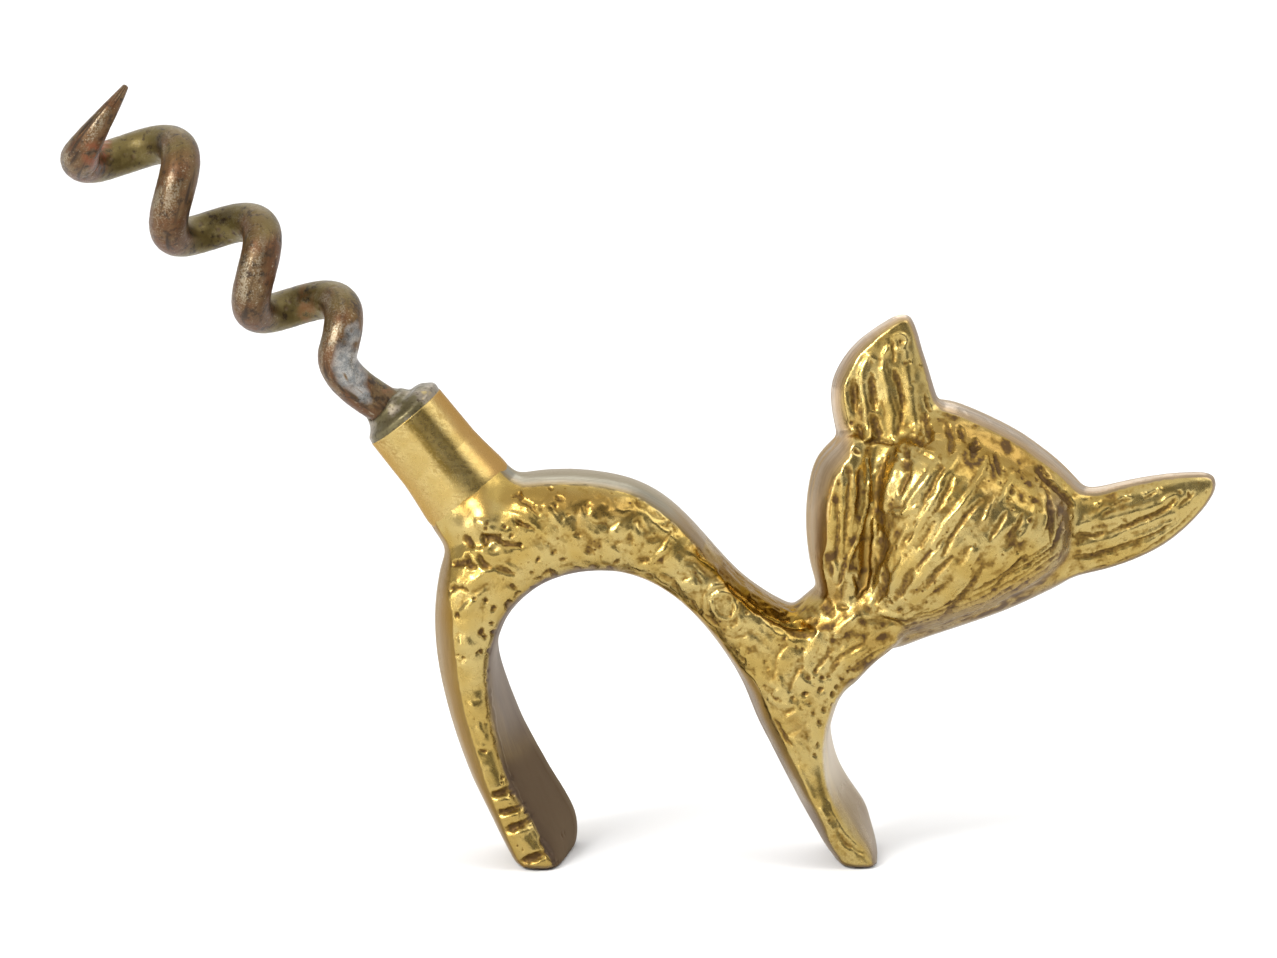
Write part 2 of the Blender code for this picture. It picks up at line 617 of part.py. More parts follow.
def main():
    for old in list(bpy.data.objects):
        bpy.data.objects.remove(old, do_unlink=True)
    brass = metal("cast_brass", (0.72, 0.50, 0.17), 0.28)
    turned_brass = metal("turned_brass", (0.75, 0.54, 0.20), 0.22)
    filler = metal("braze_metal", (0.70, 0.50, 0.20), 0.30)
    tin = metal("soft_solder", (0.42, 0.39, 0.33), 0.45)
    steel = metal("worn_steel", (0.33, 0.25, 0.19), 0.42)
    build_casting(brass)
    build_ferrule(turned_brass)
    build_braze(filler)
    build_solder(tin)
    build_worm(steel)


main()
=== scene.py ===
"""The looks of a figural corkscrew: a cast brass cat whose tail is a steel worm.

Each of the five CAD solids is dressed with one piece that follows it. Lengths are in metres in the
part's own frame: X runs from the worm's point to the cat's outer ear, Y from the back of the head
to the face, and Z is up. The tables of marks and bands are in millimetres.
"""

import math

import bmesh
import bpy
import numpy as np
from bpy.props import FloatProperty, FloatVectorProperty, IntProperty, PointerProperty
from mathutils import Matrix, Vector, kdtree, noise


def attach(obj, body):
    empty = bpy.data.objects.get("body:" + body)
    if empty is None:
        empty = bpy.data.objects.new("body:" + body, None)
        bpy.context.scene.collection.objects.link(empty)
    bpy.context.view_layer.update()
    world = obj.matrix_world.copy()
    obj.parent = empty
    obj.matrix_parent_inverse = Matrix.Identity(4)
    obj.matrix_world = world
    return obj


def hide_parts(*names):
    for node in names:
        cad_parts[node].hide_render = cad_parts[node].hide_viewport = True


bl_info = {
    "name": "Brass Cat Corkscrew",
    "version": (1, 0, 0),
    "blender": (4, 5, 0),
    "location": "View3D > Sidebar > Corkscrew",
    "description": "Finished looks of a cast brass cat corkscrew",
    "category": "Add Mesh",
}

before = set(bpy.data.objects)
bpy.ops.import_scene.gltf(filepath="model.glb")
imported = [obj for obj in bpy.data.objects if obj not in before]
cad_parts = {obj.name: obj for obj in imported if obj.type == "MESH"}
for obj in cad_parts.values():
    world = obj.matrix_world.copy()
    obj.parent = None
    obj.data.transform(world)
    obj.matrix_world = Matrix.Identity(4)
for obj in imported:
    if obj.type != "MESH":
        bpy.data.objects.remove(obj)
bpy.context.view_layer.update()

MM = 0.001
BODY = "root"
MIDPLANE = -0.0011  # place of the casting's parting plane along Y
MOUTH = Vector((-0.02209, MIDPLANE, 0.04177))  # middle of the ferrule's mouth
FAR_WAY = Vector((0.0, 1.0, 0.0))  # the way from the near side to the far side


# Sizes and colours that can be set in the sidebar


def length(name, default, description):
    return FloatProperty(
        name=name, description=description, default=default, unit="LENGTH", precision=5
    )


def angle(name, degrees, description):
    default = math.radians(degrees)
    return FloatProperty(name=name, description=description, default=default, subtype="ANGLE")


def share(name, default, description):
    return FloatProperty(name=name, description=description, default=default, min=0.0)


def tint(name, rgb):
    description = f"Colour of the {name.lower()}"
    return FloatVectorProperty(
        name=name, description=description, default=rgb, subtype="COLOR", size=3
    )


class CastingSizes(bpy.types.PropertyGroup):
    """Sizes of the casting's skin and of what is worked into it."""

    fineness: length("Fineness", 0.00021, "Voxel in which the skin is made")
    triangles: IntProperty(name="Triangles", description="Triangles kept", default=196000)
    lump_size: length("Lump size", 0.0022, "Spacing of the hammered lumps")
    lump_height: length("Lump height", 0.00011, "Height of the hammered lumps on the rump")
    fur_height: length("Fur height", 0.00011, "Height of the strewn fur strokes on the head")
    grain_height: length("Grain height", 0.000028, "Height of the fine grain of the casting")
    lip_height: length("Lip height", 0.00009, "How far the worked face stands up at a band")
    pit_depth: length("Pit depth", 0.00016, "Depth of the strewn casting pits")
    band_slope: share("Band slope", 1.5, "How steeply the ground bands fall away, depth over width")
    sleeve_radius: length("Sleeve radius", 0.00432, "Clear radius kept round the ferrule")


class FerruleSizes(bpy.types.PropertyGroup):
    """Sizes of the ferrule and of the brazing metal at its foot."""

    tilt: angle("Tilt", 128.5, "Direction of the mouth above +X")
    mouth_radius: length("Mouth radius", 0.00408, "Outer radius at the mouth")
    base_radius: length("Base radius", 0.00420, "Outer radius at the seat")
    reach: length("Length", 0.0104, "Seat to mouth")
    edge: length("Mouth edge", 0.00016, "Rounding of the mouth's outer edge")
    bore_radius: length("Bore radius", 0.00262, "Radius of the bore for the shank")
    bore_depth: length("Bore depth", 0.0085, "Depth of the bore from the mouth")
    spigot_radius: length("Spigot radius", 0.00325, "Radius of the spigot in the boss")
    spigot_length: length("Spigot length", 0.0022, "Length of the spigot below the seat")
    seat_gap: length("Seat gap", 0.0001, "Room between the ferrule and its seat")
    waviness: length("Waviness", 0.000012, "How far the turned wall is off round")


class WormSizes(bpy.types.PropertyGroup):
    """Sizes of the worm's wire and of its turns."""

    tilt: angle("Tilt", 136.1, "Direction of the point above +X")
    wire_radius: length("Wire radius", 0.00184, "Radius of the wire up to its taper")
    coil_radius: length("Coil radius", 0.00292, "Middle of the wire in the first turn")
    coil_growth: length("Coil growth", 0.0002, "How much wider the last turn is")
    pitch: length("Pitch", 0.01042, "How far one turn leads along the axis")
    sweep: angle("Sweep", 1133, "Turning from the near side of the first turn to the point")
    offset: length("Offset", 0.00038, "How far the axis runs above the middle of the mouth")
    lead_in: length("Lead-in", 0.0088, "Mouth to the first turn, along the worm")
    pull_share: share("Lead-in pull", 0.80, "How far the lead-in keeps the direction of its ends")
    shank_depth: length("Shank depth", 0.0080, "How deep the shank stands in the ferrule")
    shank_bend: angle("Shank bend", 28, "How far the wire is bent down at the mouth")
    point_turn: angle("Point turn", 118, "Part of a turn that tapers to the point")
    point_pitch_share: share("Point pitch", 0.46, "How close the tapered part winds")
    point_radius: length("Point radius", 0.00030, "Radius of the wire at its point")
    point_flare: length("Point flare", 0.0023, "How far the point stands out")
    flare_turn: angle("Flare turn", 215, "Part of a turn over which it does")
    pitting: length("Pitting", 0.00006, "Depth of the rust pits")
    rings: IntProperty(name="Rings", description="Rings along the wire", default=560)
    sides: IntProperty(name="Sides", description="Sides of the wire", default=80)


class SolderSizes(bpy.types.PropertyGroup):
    """Sizes of the solder mound's skin."""

    fineness: length("Fineness", 0.00012, "Voxel in which the mound is made")
    unevenness: length("Unevenness", 0.00004, "Height of the ripples the iron left")
    rim_gap: length("Rim gap", 0.00002, "Bare edge of the mouth left round the foot")
    seating: length("Seating", 0.00016, "How far the foot is pressed onto the mouth")
    hollow: length("Hollow", 0.0005, "How far the upper side sinks beside the wire")
    shoulder: length("Shoulder", 0.00025, "How far the upper right side swells")


class FinishColours(bpy.types.PropertyGroup):
    """Colours of the metals and of what lies on them."""

    brass: tint("Brass", (0.405, 0.281, 0.080))
    pale_brass: tint("Pale brass", (0.452, 0.344, 0.130))
    amber: tint("Amber", (0.235, 0.140, 0.030))
    oxide: tint("Oxide", (0.088, 0.046, 0.014))
    # Band colours paint a reflection: a pale grey sheen at the rim and darker shade beside the face
    band_rim_sheen: tint("Band at the rim", (0.30, 0.26, 0.22))
    band_middle: tint("Middle of a band", (0.27, 0.20, 0.13))
    # Painted pale reflection on the back's top band
    band_cool_sheen: tint("Cool film on the back", (0.29, 0.30, 0.27))
    band_inner_shade: tint("Band beside the face", (0.22, 0.155, 0.062))
    # Honey brown and deep amber: partly stain, partly painted shade and reflection
    honey: tint("Honey brown", (0.255, 0.145, 0.030))
    deep_amber: tint("Deep amber", (0.17, 0.085, 0.004))
    sleeve: tint("Sleeve brass", (0.43, 0.305, 0.100))
    pale_sleeve: tint("Pale sleeve", (0.51, 0.385, 0.150))
    # Painted reflection: the dark stripe along the sleeve
    stripe: tint("Sleeve stripe", (0.215, 0.142, 0.034))
    grazing: tint("Grazing sheen", (0.75, 0.65, 0.51))
    dull: tint("Dull brass", (0.157, 0.123, 0.106))
    # Painted shade: the hind paw's lower inner face, darker near the floor
    paw_shade_tint: tint("Dark dull brass", (0.108, 0.074, 0.050))
    # Painted reflection of the white floor on the fore leg's inner face
    floor_reflection_tint: tint("Bleached brass", (0.60, 0.56, 0.50))
    # Painted reflection: the sleeve's orange flanks
    flank: tint("Sleeve flank", (0.36, 0.20, 0.065))
    copper: tint("Copper stain", (0.19, 0.052, 0.017))
    steel: tint("Steel", (0.33, 0.32, 0.30))
    rust: tint("Rust", (0.105, 0.043, 0.013))
    olive: tint("Olive film", (0.132, 0.099, 0.026))
    umber: tint("Umber", (0.036, 0.020, 0.009))
    brown_steel: tint("Brown steel", (0.130, 0.078, 0.032))
    # Flecks lie partly where the steel is rubbed and partly as painted highlights where the lights
    # fall
    fleck: tint("Flecks", (0.38, 0.33, 0.235))
    bare_steel: tint("Bare steel", (0.200, 0.205, 0.200))
    solder: tint("Solder", (0.225, 0.190, 0.140))
    solder_brown: tint("Solder stain", (0.118, 0.098, 0.046))


class StageSizes(bpy.types.PropertyGroup):
    """Places and strengths of the studio."""

    floor_reach: length("Floor reach", 12.0, "Half the width of the floor")
    lift: angle("Camera lift", 9.0, "How far the camera looks down")
    distance: length("Camera distance", 0.6, "Camera to what it looks at")
    lens: share("Lens", 181.66, "Focal length in mm on a 36 mm sensor")
    surround: share("Surround", 1.16, "Brightness of the pale surround")
    key_power: share("Key power", 4.5, "Watts of the upper left softbox")
    fill_power: share("Fill power", 1.5, "Watts of the upper right softbox")
    low_power: share("Low power", 0.40, "Watts of the low softbox in front on the left")
    side_power: share("Side power", 1.2, "Watts of the tall light at the left")
    rear_power: share("Rear power", 9.0, "Watts of the light over the far floor")


# Small helpers


def smooth_step(low, high, values):
    """0 below low, 1 above high, and a soft S between them."""
    part = np.clip((values - low) / (high - low), 0.0, 1.0)
    return part * part * (3.0 - 2.0 * part)


def mm_step(low, high, values):
    """The soft step with its ends given in mm."""
    return smooth_step(low * MM, high * MM, values)


def direction(tilt):
    """The way in the XZ plane at this angle above +X."""
    return Vector((math.cos(tilt), 0.0, math.sin(tilt)))


def side_of(tilt):
    """The way in the XZ plane a quarter turn to the right of that direction."""
    return direction(tilt - math.radians(90))


def about_axis(places, base, tilt):
    """Each place's height above the base along a tilted axis, and its way out from the axis."""
    axis = np.array(direction(tilt))
    apart = places - np.array(base)
    rise = apart @ axis
    return rise, apart - rise[:, None] * axis


def coordinates(mesh):
    """The mesh's places as an array of rows."""
    flat = np.empty(len(mesh.vertices) * 3)
    mesh.vertices.foreach_get("co", flat)
    return flat.reshape(-1, 3)


def vertex_normals(mesh):
    """The mesh's normals at its vertices, as an array of rows."""
    flat = np.empty(len(mesh.vertices) * 3, np.float32)
    mesh.vertex_normals.foreach_get("vector", flat)
    return flat.reshape(-1, 3).astype(float)


def set_coordinates(mesh, places):
    """Moves the mesh's vertices to these rows."""
    mesh.vertices.foreach_set("co", places.astype(np.float32).ravel())
    mesh.update()


def flattened(places):
    """The places as seen along Y: all on the plane y = 0."""
    flat = places.copy()
    flat[:, 1] = 0.0
    return flat


def tree_of(places, numbers=None):
    """A search tree of the places, which are found again by their numbers."""
    numbers = range(len(places)) if numbers is None else numbers
    tree = kdtree.KDTree(len(places))
    for number, place in zip(numbers, places):
        tree.insert(place, number)
    tree.balance()
    return tree


def add_number(mesh, name, values):
    """Keeps a number at each vertex, for the materials."""
    kept = mesh.attributes.new(name, "FLOAT", "POINT")
    kept.data.foreach_set("value", values.astype(np.float32))


def grain(places, size, offset=0.0):
    """Smooth noise from -1 to 1 with features of about this size."""
    scaled = places / size + offset
    return np.array([noise.noise(p) for p in scaled])


def wander(places, size, first, second):
    """Two smooth noises side by side, which lead placed marks slightly astray."""
    return np.stack([grain(places, size, first), grain(places, size, second)], axis=1)


def cells(places, size, offset=0.0):
    """Distances to the two nearest of points strewn about this far apart, as shares of it."""
    scaled = places / size + offset
    found = [noise.voronoi(p)[0] for p in scaled]
    return np.array([f[0] for f in found]), np.array([f[1] for f in found])


def finished(piece, node):
    """Attaches a piece that stands for a CAD node to the body, and hides the node."""
    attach(piece, BODY)
    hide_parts(node)
    return piece


def new_piece(name, mesh, material=None):
    """An object in the scene with this mesh and, where one is given, this material alone."""
    made = bpy.data.objects.new(name, mesh)
    bpy.context.scene.collection.objects.link(made)
    mesh.materials.clear()
    if material:
        mesh.materials.append(material)
    return made


def evaluated_mesh(piece):
    """The piece's mesh with its modifiers applied."""
    bpy.context.view_layer.update()
    seen = piece.evaluated_get(bpy.context.evaluated_depsgraph_get())
    return bpy.data.meshes.new_from_object(seen)


def remeshed(mesh, voxel, rounds):
    """The mesh run together in voxels of this size and smoothed in so many rounds."""
    skin = new_piece("skin", mesh)
    fuse = skin.modifiers.new("fuse", "REMESH")
    fuse.mode = "VOXEL"
    fuse.voxel_size = voxel
    fuse.use_smooth_shade = True
    soften = skin.modifiers.new("soften", "SMOOTH")
    soften.factor = 0.5
    soften.iterations = rounds
    fused = evaluated_mesh(skin)
    bpy.data.objects.remove(skin)
    return fused


def mesh_of(work, name):
    """The mesh that a bmesh holds; the bmesh is let go."""
    mesh = bpy.data.meshes.new(name)
    work.to_mesh(mesh)
    work.free()
    return mesh


def cad_copy(node):
    """A copy of a CAD node's mesh, its doubled vertices merged."""
    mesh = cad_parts[node].data.copy()
    work = bmesh.new()
    work.from_mesh(mesh)
    bmesh.ops.remove_doubles(work, verts=work.verts, dist=1e-6)
    work.to_mesh(mesh)
    work.free()
    return mesh


def add_loft(mesh, rings, closed=False):
    """Joins rings into a skin, capped at its ends or, when closed, led back to its first ring."""
    rows = [[mesh.verts.new(p) for p in ring] for ring in rings]
    joined = zip(rows, rows[1:] + rows[:1]) if closed else zip(rows, rows[1:])
    for one, two in joined:
        for k in range(len(one)):
            n = (k + 1) % len(one)
            mesh.faces.new((one[k], one[n], two[n], two[k]))
    if not closed:
        mesh.faces.new(rows[0][::-1])
        mesh.faces.new(rows[-1])


def turned_mesh(profile, base, tilt, steps, closed=False):
    """A profile of (radius, height) turned about the axis at this tilt."""
    axis, side = direction(tilt), side_of(tilt)
    rings = []
    for radius, height in profile:
        centre = base + axis * height
        turn = (2 * math.pi * k / steps for k in range(steps))
        rings.append([centre + (side * math.cos(a) + FAR_WAY * math.sin(a)) * radius for a in turn])
    work = bmesh.new()
    add_loft(work, rings, closed)
    bmesh.ops.recalc_face_normals(work, faces=work.faces)
    return mesh_of(work, "turned")


# Casting


def outer_rim(places, normals):
    """A search tree of the vertices on the casting's outline as seen along Y, and their places."""
    flat = flattened(places)
    tree = tree_of(flat)
    kept = []
    for i in np.nonzero(np.abs(normals[:, 1]) < RIM_TURN)[0]:
        way = Vector((normals[i, 0], 0.0, normals[i, 2])).normalized()
        beyond = Vector(flat[i]) + way * RIM_STEP * MM
        if tree.find(beyond)[2] > RIM_CLEAR * MM:
            kept.append(i)
    return tree_of(flat[kept]), flat[kept]


# The outline: how far a vertex's normal may lean towards Y, a step beyond the vertex, and how far
# the casting has to be from there, both in mm
RIM_TURN, RIM_STEP, RIM_CLEAR = 0.3, 0.6, 0.33


def rim_distance(places, rim):
    """How far each place lies from the outline, and the number of the outline's nearest vertex."""
    far = np.empty(len(places))
    nearest = np.empty(len(places), int)
    for i, p in enumerate(flattened(places)):
        _, nearest[i], far[i] = rim.find(p)
    return far, nearest


def spread_rows(spots, rows):
    """Numbers given at a few (x, z) spots, in mm, blended smoothly over all places."""
    rows = np.array(rows)
    flat = spots[:, (0, 2)] / MM
    total = np.zeros((len(spots), rows.shape[1] - 2))
    weight = np.zeros(len(spots))
    for row in rows:
        near = 1.0 / (((flat - row[:2]) ** 2).sum(1) + BLEND_REACH**2) ** 2
        total += near[:, None] * row[2:]
        weight += near
    return total / weight[:, None]


# How far a spot's own numbers hold before its neighbours join in, in mm
BLEND_REACH = 2.0


def along_route(spots, route):
    """How far each spot lies from a route, and how far along the route that is, from 0 to 1."""
    best = np.full(len(spots), 1e9)
    along = np.full(len(spots), 0.5)
    if len(route) == 1:
        best = np.linalg.norm(spots - route[0], axis=1)
    lengths = np.linalg.norm(np.diff(route, axis=0), axis=1)
    total = max(lengths.sum(), 1e-9)
    done = 0.0
    for a, b, run in zip(route, route[1:], lengths):
        way = b - a
        t = np.clip(((spots - a) @ way) / max(run**2, 1e-12), 0.0, 1.0)
        gap = np.linalg.norm(spots - a - t[:, None] * way, axis=1)
        closer = gap < best
        best = np.where(closer, gap, best)
        along = np.where(closer, (done + t * run) / total, along)
        done += run
    return best, along


def stroke_field(places, strokes, wobble):
    """Height, tarnish and cover that placed marks give to each place, seen along Y."""
    flat = places[:, (0, 2)] + wobble
    height, dark, cover = np.zeros((3, len(flat)))
    for row in strokes:
        width, rise, tarnish = row[0] * MM, row[1] * MM, row[2]
        route = np.array(row[3:]).reshape(-1, 2) * MM
        low, high = route.min(0) - width, route.max(0) + width
        near = np.nonzero(((flat > low) & (flat < high)).all(1))[0]
        if not len(near):
            continue
        best, along = along_route(flat[near], route)

        # A mark is narrower and shallower towards its ends
        ends = smooth_step(-0.02, 0.22, along) * smooth_step(1.02, 0.78, along) * 0.7 + 0.3
        part = np.clip(best / (width * (0.55 + 0.45 * ends)), 0.0, 1.0)
        power = STEEP_WALL if tarnish > STEEP_FROM else SOFT_WALL
        profile = (1.0 - part**power) ** 2 * (0.5 + 0.5 * ends)
        height[near] += rise * profile
        dark[near] = np.maximum(dark[near], tarnish * profile**0.6)
        if rise < 0.0:
            cover[near] = np.maximum(cover[near], profile**0.4)
    return height, dark, cover


def mark_rows(marks):
    """The marks with their whole numbers turned into mm and shares."""
    return [(*(n / 100 for n in mark[:3]), *(n / 10 for n in mark[3:])) for mark in marks]


# Marks with more tarnish than the first have a flat floor and steep walls, and the others are soft
STEEP_FROM, STEEP_WALL, SOFT_WALL = 0.6, 3.5, 2.0


def grind_band(places, normals, far, width, side, slope):
    """Rounds off the casting's outer edge from a crisp line, as grinding does, on one side."""
    depth = (places[:, 1] - MIDPLANE) * side
    flat = flattened(places)
    squarely = side * normals[:, 1] > FACE_TURN
    beside = np.nonzero(squarely & (far > width) & (far < width + FACE_STRIP * MM))[0]
    tree = tree_of(flat[beside], beside)
    for i in np.nonzero((depth > 0.0) & (far < width))[0]:
        close = [f for f in tree.find_n(flat[i], FACE_COUNT) if f[2] < FACE_REACH * MM]
        if not close:
            continue
        face = sum(depth[f[1]] for f in close) / len(close)
        part = (width[i] - far[i]) / width[i]
        deepest = min(slope * width[i], BAND_DEEPEST * face)
        drop = deepest * (0.45 * part + 0.55 * (1.0 - math.sqrt(1.0 - part**2)))
        places[i, 1] = MIDPLANE + side * depth[i] * (1.0 - drop / face)


# The face beside a band: how squarely its vertices look along Y, the width of the strip they lie in
# and their furthest distance, in mm, and how many of them count
FACE_TURN, FACE_STRIP, FACE_REACH, FACE_COUNT = 0.45, 0.45, 2.6, 12
# The largest share of the half thickness that a band may take away
BAND_DEEPEST = 0.82


def fanned(places):
    """The head's places unrolled round the neck, so that noise runs along the fur."""
    neck = np.array((18.8, 20.5)) * MM
    x, z = places[:, 0] - neck[0], places[:, 2] - neck[1]
    reach = np.hypot(x, z)
    return np.stack([reach / 5.0, np.arctan2(z, x) * 15.0 * MM, places[:, 1] / 3.0], axis=1)


def blurred(mesh, values, rounds):
    """The values at the vertices, each round averaged with its neighbours."""
    ends = np.empty(len(mesh.edges) * 2, int)
    mesh.edges.foreach_get("vertices", ends)
    one, two = ends.reshape(-1, 2).T
    count = np.bincount(one, minlength=len(values)) + np.bincount(two, minlength=len(values)) + 1.0
    for _ in range(rounds):
        total = np.bincount(one, values[two], len(values))
        total = total + np.bincount(two, values[one], len(values))
        values = (total + values) / count
    return values


def casting_relief(mesh, places, normals, far, width):
    """Height, tarnish, and the shares of worked and of textured skin at each place."""
    sizes = bpy.context.scene.cat_casting
    worked = worked_share(places, normals, far, width)
    wobble = wander(places, 1.3 * MM, 5.0, 9.0) * 0.12 * MM
    wobble += wander(places, 0.5 * MM, 15.0, 19.0) * 0.09 * MM
    near = normals[:, 1] < 0
    height, dark, cover = stroke_field(places, mark_rows(STROKES), wobble)
    lump_share, fur_share, pit_share, grime_share = spread_rows(places, SKIN_ROWS).T
    lump_share = np.where(near, lump_share, np.maximum(lump_share, 0.55))
    height *= near
    dark *= near
    cover *= near
    lumps = strewn_lumps(places, lump_share, fur_share, wobble)
    fine = strewn_grain(places, lump_share, fur_share)
    pit = strewn_pits(places, pit_share)
    lip = np.exp(-(((far - width) / (0.30 * MM)) ** 2))
    lip = lip * mm_step(0.25, 0.7, width) * sizes.lip_height
    height = (height + lumps + fine + lip - pit * sizes.pit_depth) * worked
    textured = np.clip(lump_share + fur_share, 0.0, 1.0)
    cavity = cavity_share(mesh, places, height, cover, textured, grime_share)
    stained = np.clip(np.maximum(np.maximum(dark * 0.85, pit), cavity), 0.0, 1.0) * worked
    return height, stained, worked, textured


def worked_share(places, normals, far, width):
    """1 on the worked faces, and 0 on the ground bands and the edge."""
    worked = smooth_step(0.10, 0.34, np.abs(normals[:, 1])) * mm_step(-0.05, 0.22, far - width)
    over = stroke_field(places, OVER_ROWS, np.zeros((len(places), 2)))[1]
    return np.maximum(worked, over * mm_step(0.6, -0.4, places[:, 1] - MIDPLANE))


def strewn_lumps(places, lump_share, fur_share, wobble):
    """Height of the hammered lumps, with creases between them, and of the fur on the head."""
    sizes = bpy.context.scene.cat_casting
    warped = places.copy()
    warped[:, (0, 2)] += wobble * 4.0
    first, second = cells(warped, sizes.lump_size)
    lumps = (np.minimum(second - first, 0.5) / 0.5 - 0.6) * sizes.lump_height
    lumps += grain(places, 1.5 * MM) * sizes.lump_height * 0.8
    lumps *= lump_share
    fur = grain(fanned(places), 1.1 * MM, 7.0) + 0.6 * grain(fanned(places), 0.5 * MM, 27.0)
    return lumps + fur * fur_share * sizes.fur_height


def strewn_grain(places, lump_share, fur_share):
    """Height of the fine grain, which is stronger on lumps and fur and in patches."""
    rough = 0.55 + 0.45 * smooth_step(-0.3, 0.3, grain(places, 3.0 * MM, 90.0))
    fine = grain(places, 0.8 * MM, 3.0) * 1.5 + grain(places, 0.42 * MM, 33.0)
    fine = fine * bpy.context.scene.cat_casting.grain_height * rough
    return fine * (0.3 + 0.7 * np.clip(lump_share + fur_share - 0.15, 0.0, 1.0))


def strewn_pits(places, pit_share):
    """Small casting pits: 1 in the middle of each and 0 between them."""
    pits, _ = cells(places, 1.3 * MM, 40.0)
    chance = grain(places, 4.0 * MM, 70.0) + pit_share - 0.5
    return smooth_step(0.25, 0.10, pits) * smooth_step(0.0, 0.3, chance)


def cavity_share(mesh, places, height, cover, textured, grime_share):
    """Where tarnish stays: in what lies deep, and in grime that isn't rubbed off."""
    close = blurred(mesh, height, 3) - height
    wide = blurred(mesh, height, 30) - height
    cavity = mm_step(0.0, 0.06, close) * 0.4 + mm_step(-0.01, 0.16, wide) * 0.6
    cavity *= (1.0 - 0.6 * cover) * (0.35 + 0.65 * textured)
    patches = 1.6 * grain(places, 0.9 * MM, 51.0)
    grime = grime_share * (0.55 + patches + 0.9 * grain(places, 2.2 * MM, 57.0))
    raised = mm_step(0.0, 0.05, -wide)
    return np.maximum(cavity, np.clip(grime, 0.0, 1.0) * (1.0 - 0.75 * raised))


def dull_share(places, normals):
    """Where the brass was left unpolished: edges that look down or to the head, and strips."""
    facing = np.abs(normals[:, 1])
    inward = smooth_step(0.15, 0.6, normals[:, 0] * 0.9 - normals[:, 2] * 0.55)
    inward = inward * smooth_step(0.72, 0.4, facing)
    inward *= 1.0 - 0.35 * mm_step(15, 18, places[:, 0])
    wobble = wander(places, 2.0 * MM, 75.0, 79.0) * 0.2 * MM
    strips = stroke_field(places, DULL_ROWS, wobble)[1] * smooth_step(0.80, 0.55, facing)
    return np.maximum(inward, strips)


def honey_and_shade_share(places, normals, worked, across):
    """Where the brass is honey brown: a painted reflection on bands that look to the worm, and
    placed spots that are partly stain and partly painted shade.
    """
    x, z = places[:, 0], places[:, 2]
    leftward = smooth_step(0.05, 0.6, -normals[:, 0] - normals[:, 2] * 0.15)
    bands = leftward * (1.0 - worked) * smooth_step(0.02, 0.35, np.abs(normals[:, 1]))
    bands *= 0.30 + 0.50 * across + 0.4 * grain(places, 2.5 * MM, 87.0)
    bands *= mm_step(42, 40, z) * (1.0 - 0.6 * mm_step(12, 15, x))
    wobble = wander(places, 2.0 * MM, 65.0, 69.0) * 0.3 * MM
    spots = stroke_field(places, HONEY_SHADE_ROWS, wobble)[1] * (normals[:, 1] < 0.3)
    return np.clip(np.maximum(bands * 0.9, spots * (0.2 + 0.8 * worked)), 0.0, 1.0)


def box_share(places, box):
    """1 inside a soft box on the casting and 0 outside it."""
    part = 1.0
    for axis, start, full in box:
        part = part * mm_step(start, full, places[:, axis])
    return part


# Soft boxes: the axis (0 is X and 2 is Z), then where the box starts and where it is full, in mm
# The cool box paints a pale reflection on the back's top band
COOL_BACK_SHEEN = ((0, 5, 1), (2, 31, 33.5))
# The hind paw box paints shade near the floor
HIND_PAW_SHADE = ((0, 0, -2), (2, 15, 9))
# The fore leg box paints a reflection of the floor
FORE_LEG_FLOOR_REFLECTION = ((0, 13, 15), (2, 4.5, 9), (2, 19, 15))
# The crown and cheek boxes tune the painted reflection on their bands
CROWN = ((0, 25, 28), (2, 33, 36))
CHEEK = ((0, 14, 15.5), (0, 22, 20), (2, 26, 29), (2, 42, 40))


def fillet_mesh():
    """The metal that runs up from the rump round the foot of the ferrule."""
    sizes = bpy.context.scene.cat_ferrule
    axis, side = direction(sizes.tilt), side_of(sizes.tilt)
    base = MOUTH - axis * sizes.reach
    rings = []
    for height, wide, deep in FILLET_ROWS:
        centre = base + axis * height * MM
        ring = []
        for k in range(FILLET_SIDES):
            a = 2 * math.pi * k / FILLET_SIDES
            out = Vector((0, math.sin(a) * deep * MM, 0))
            ring.append(centre + side * math.cos(a) * wide * MM + out)
        rings.append(ring)
    work = bmesh.new()
    add_loft(work, rings, closed=True)
    bmesh.ops.recalc_face_normals(work, faces=work.faces)
    return mesh_of(work, "fillet")


# Sides of the fillet all round
FILLET_SIDES = 64


def clear_sleeve(places):
    """Keeps the skin off the ferrule's wall."""
    sizes = bpy.context.scene.cat_ferrule
    base = np.array(MOUTH) - np.array(direction(sizes.tilt)) * sizes.reach
    rise, across = about_axis(places, base, sizes.tilt)
    radius = np.linalg.norm(across, axis=1)
    clear = bpy.context.scene.cat_casting.sleeve_radius
    inside = (rise > 0.12 * MM) & (rise < 4 * MM) & (radius < clear) & (radius > 1e-6)
    places[inside] += across[inside] * (clear / radius[inside] - 1.0)[:, None]


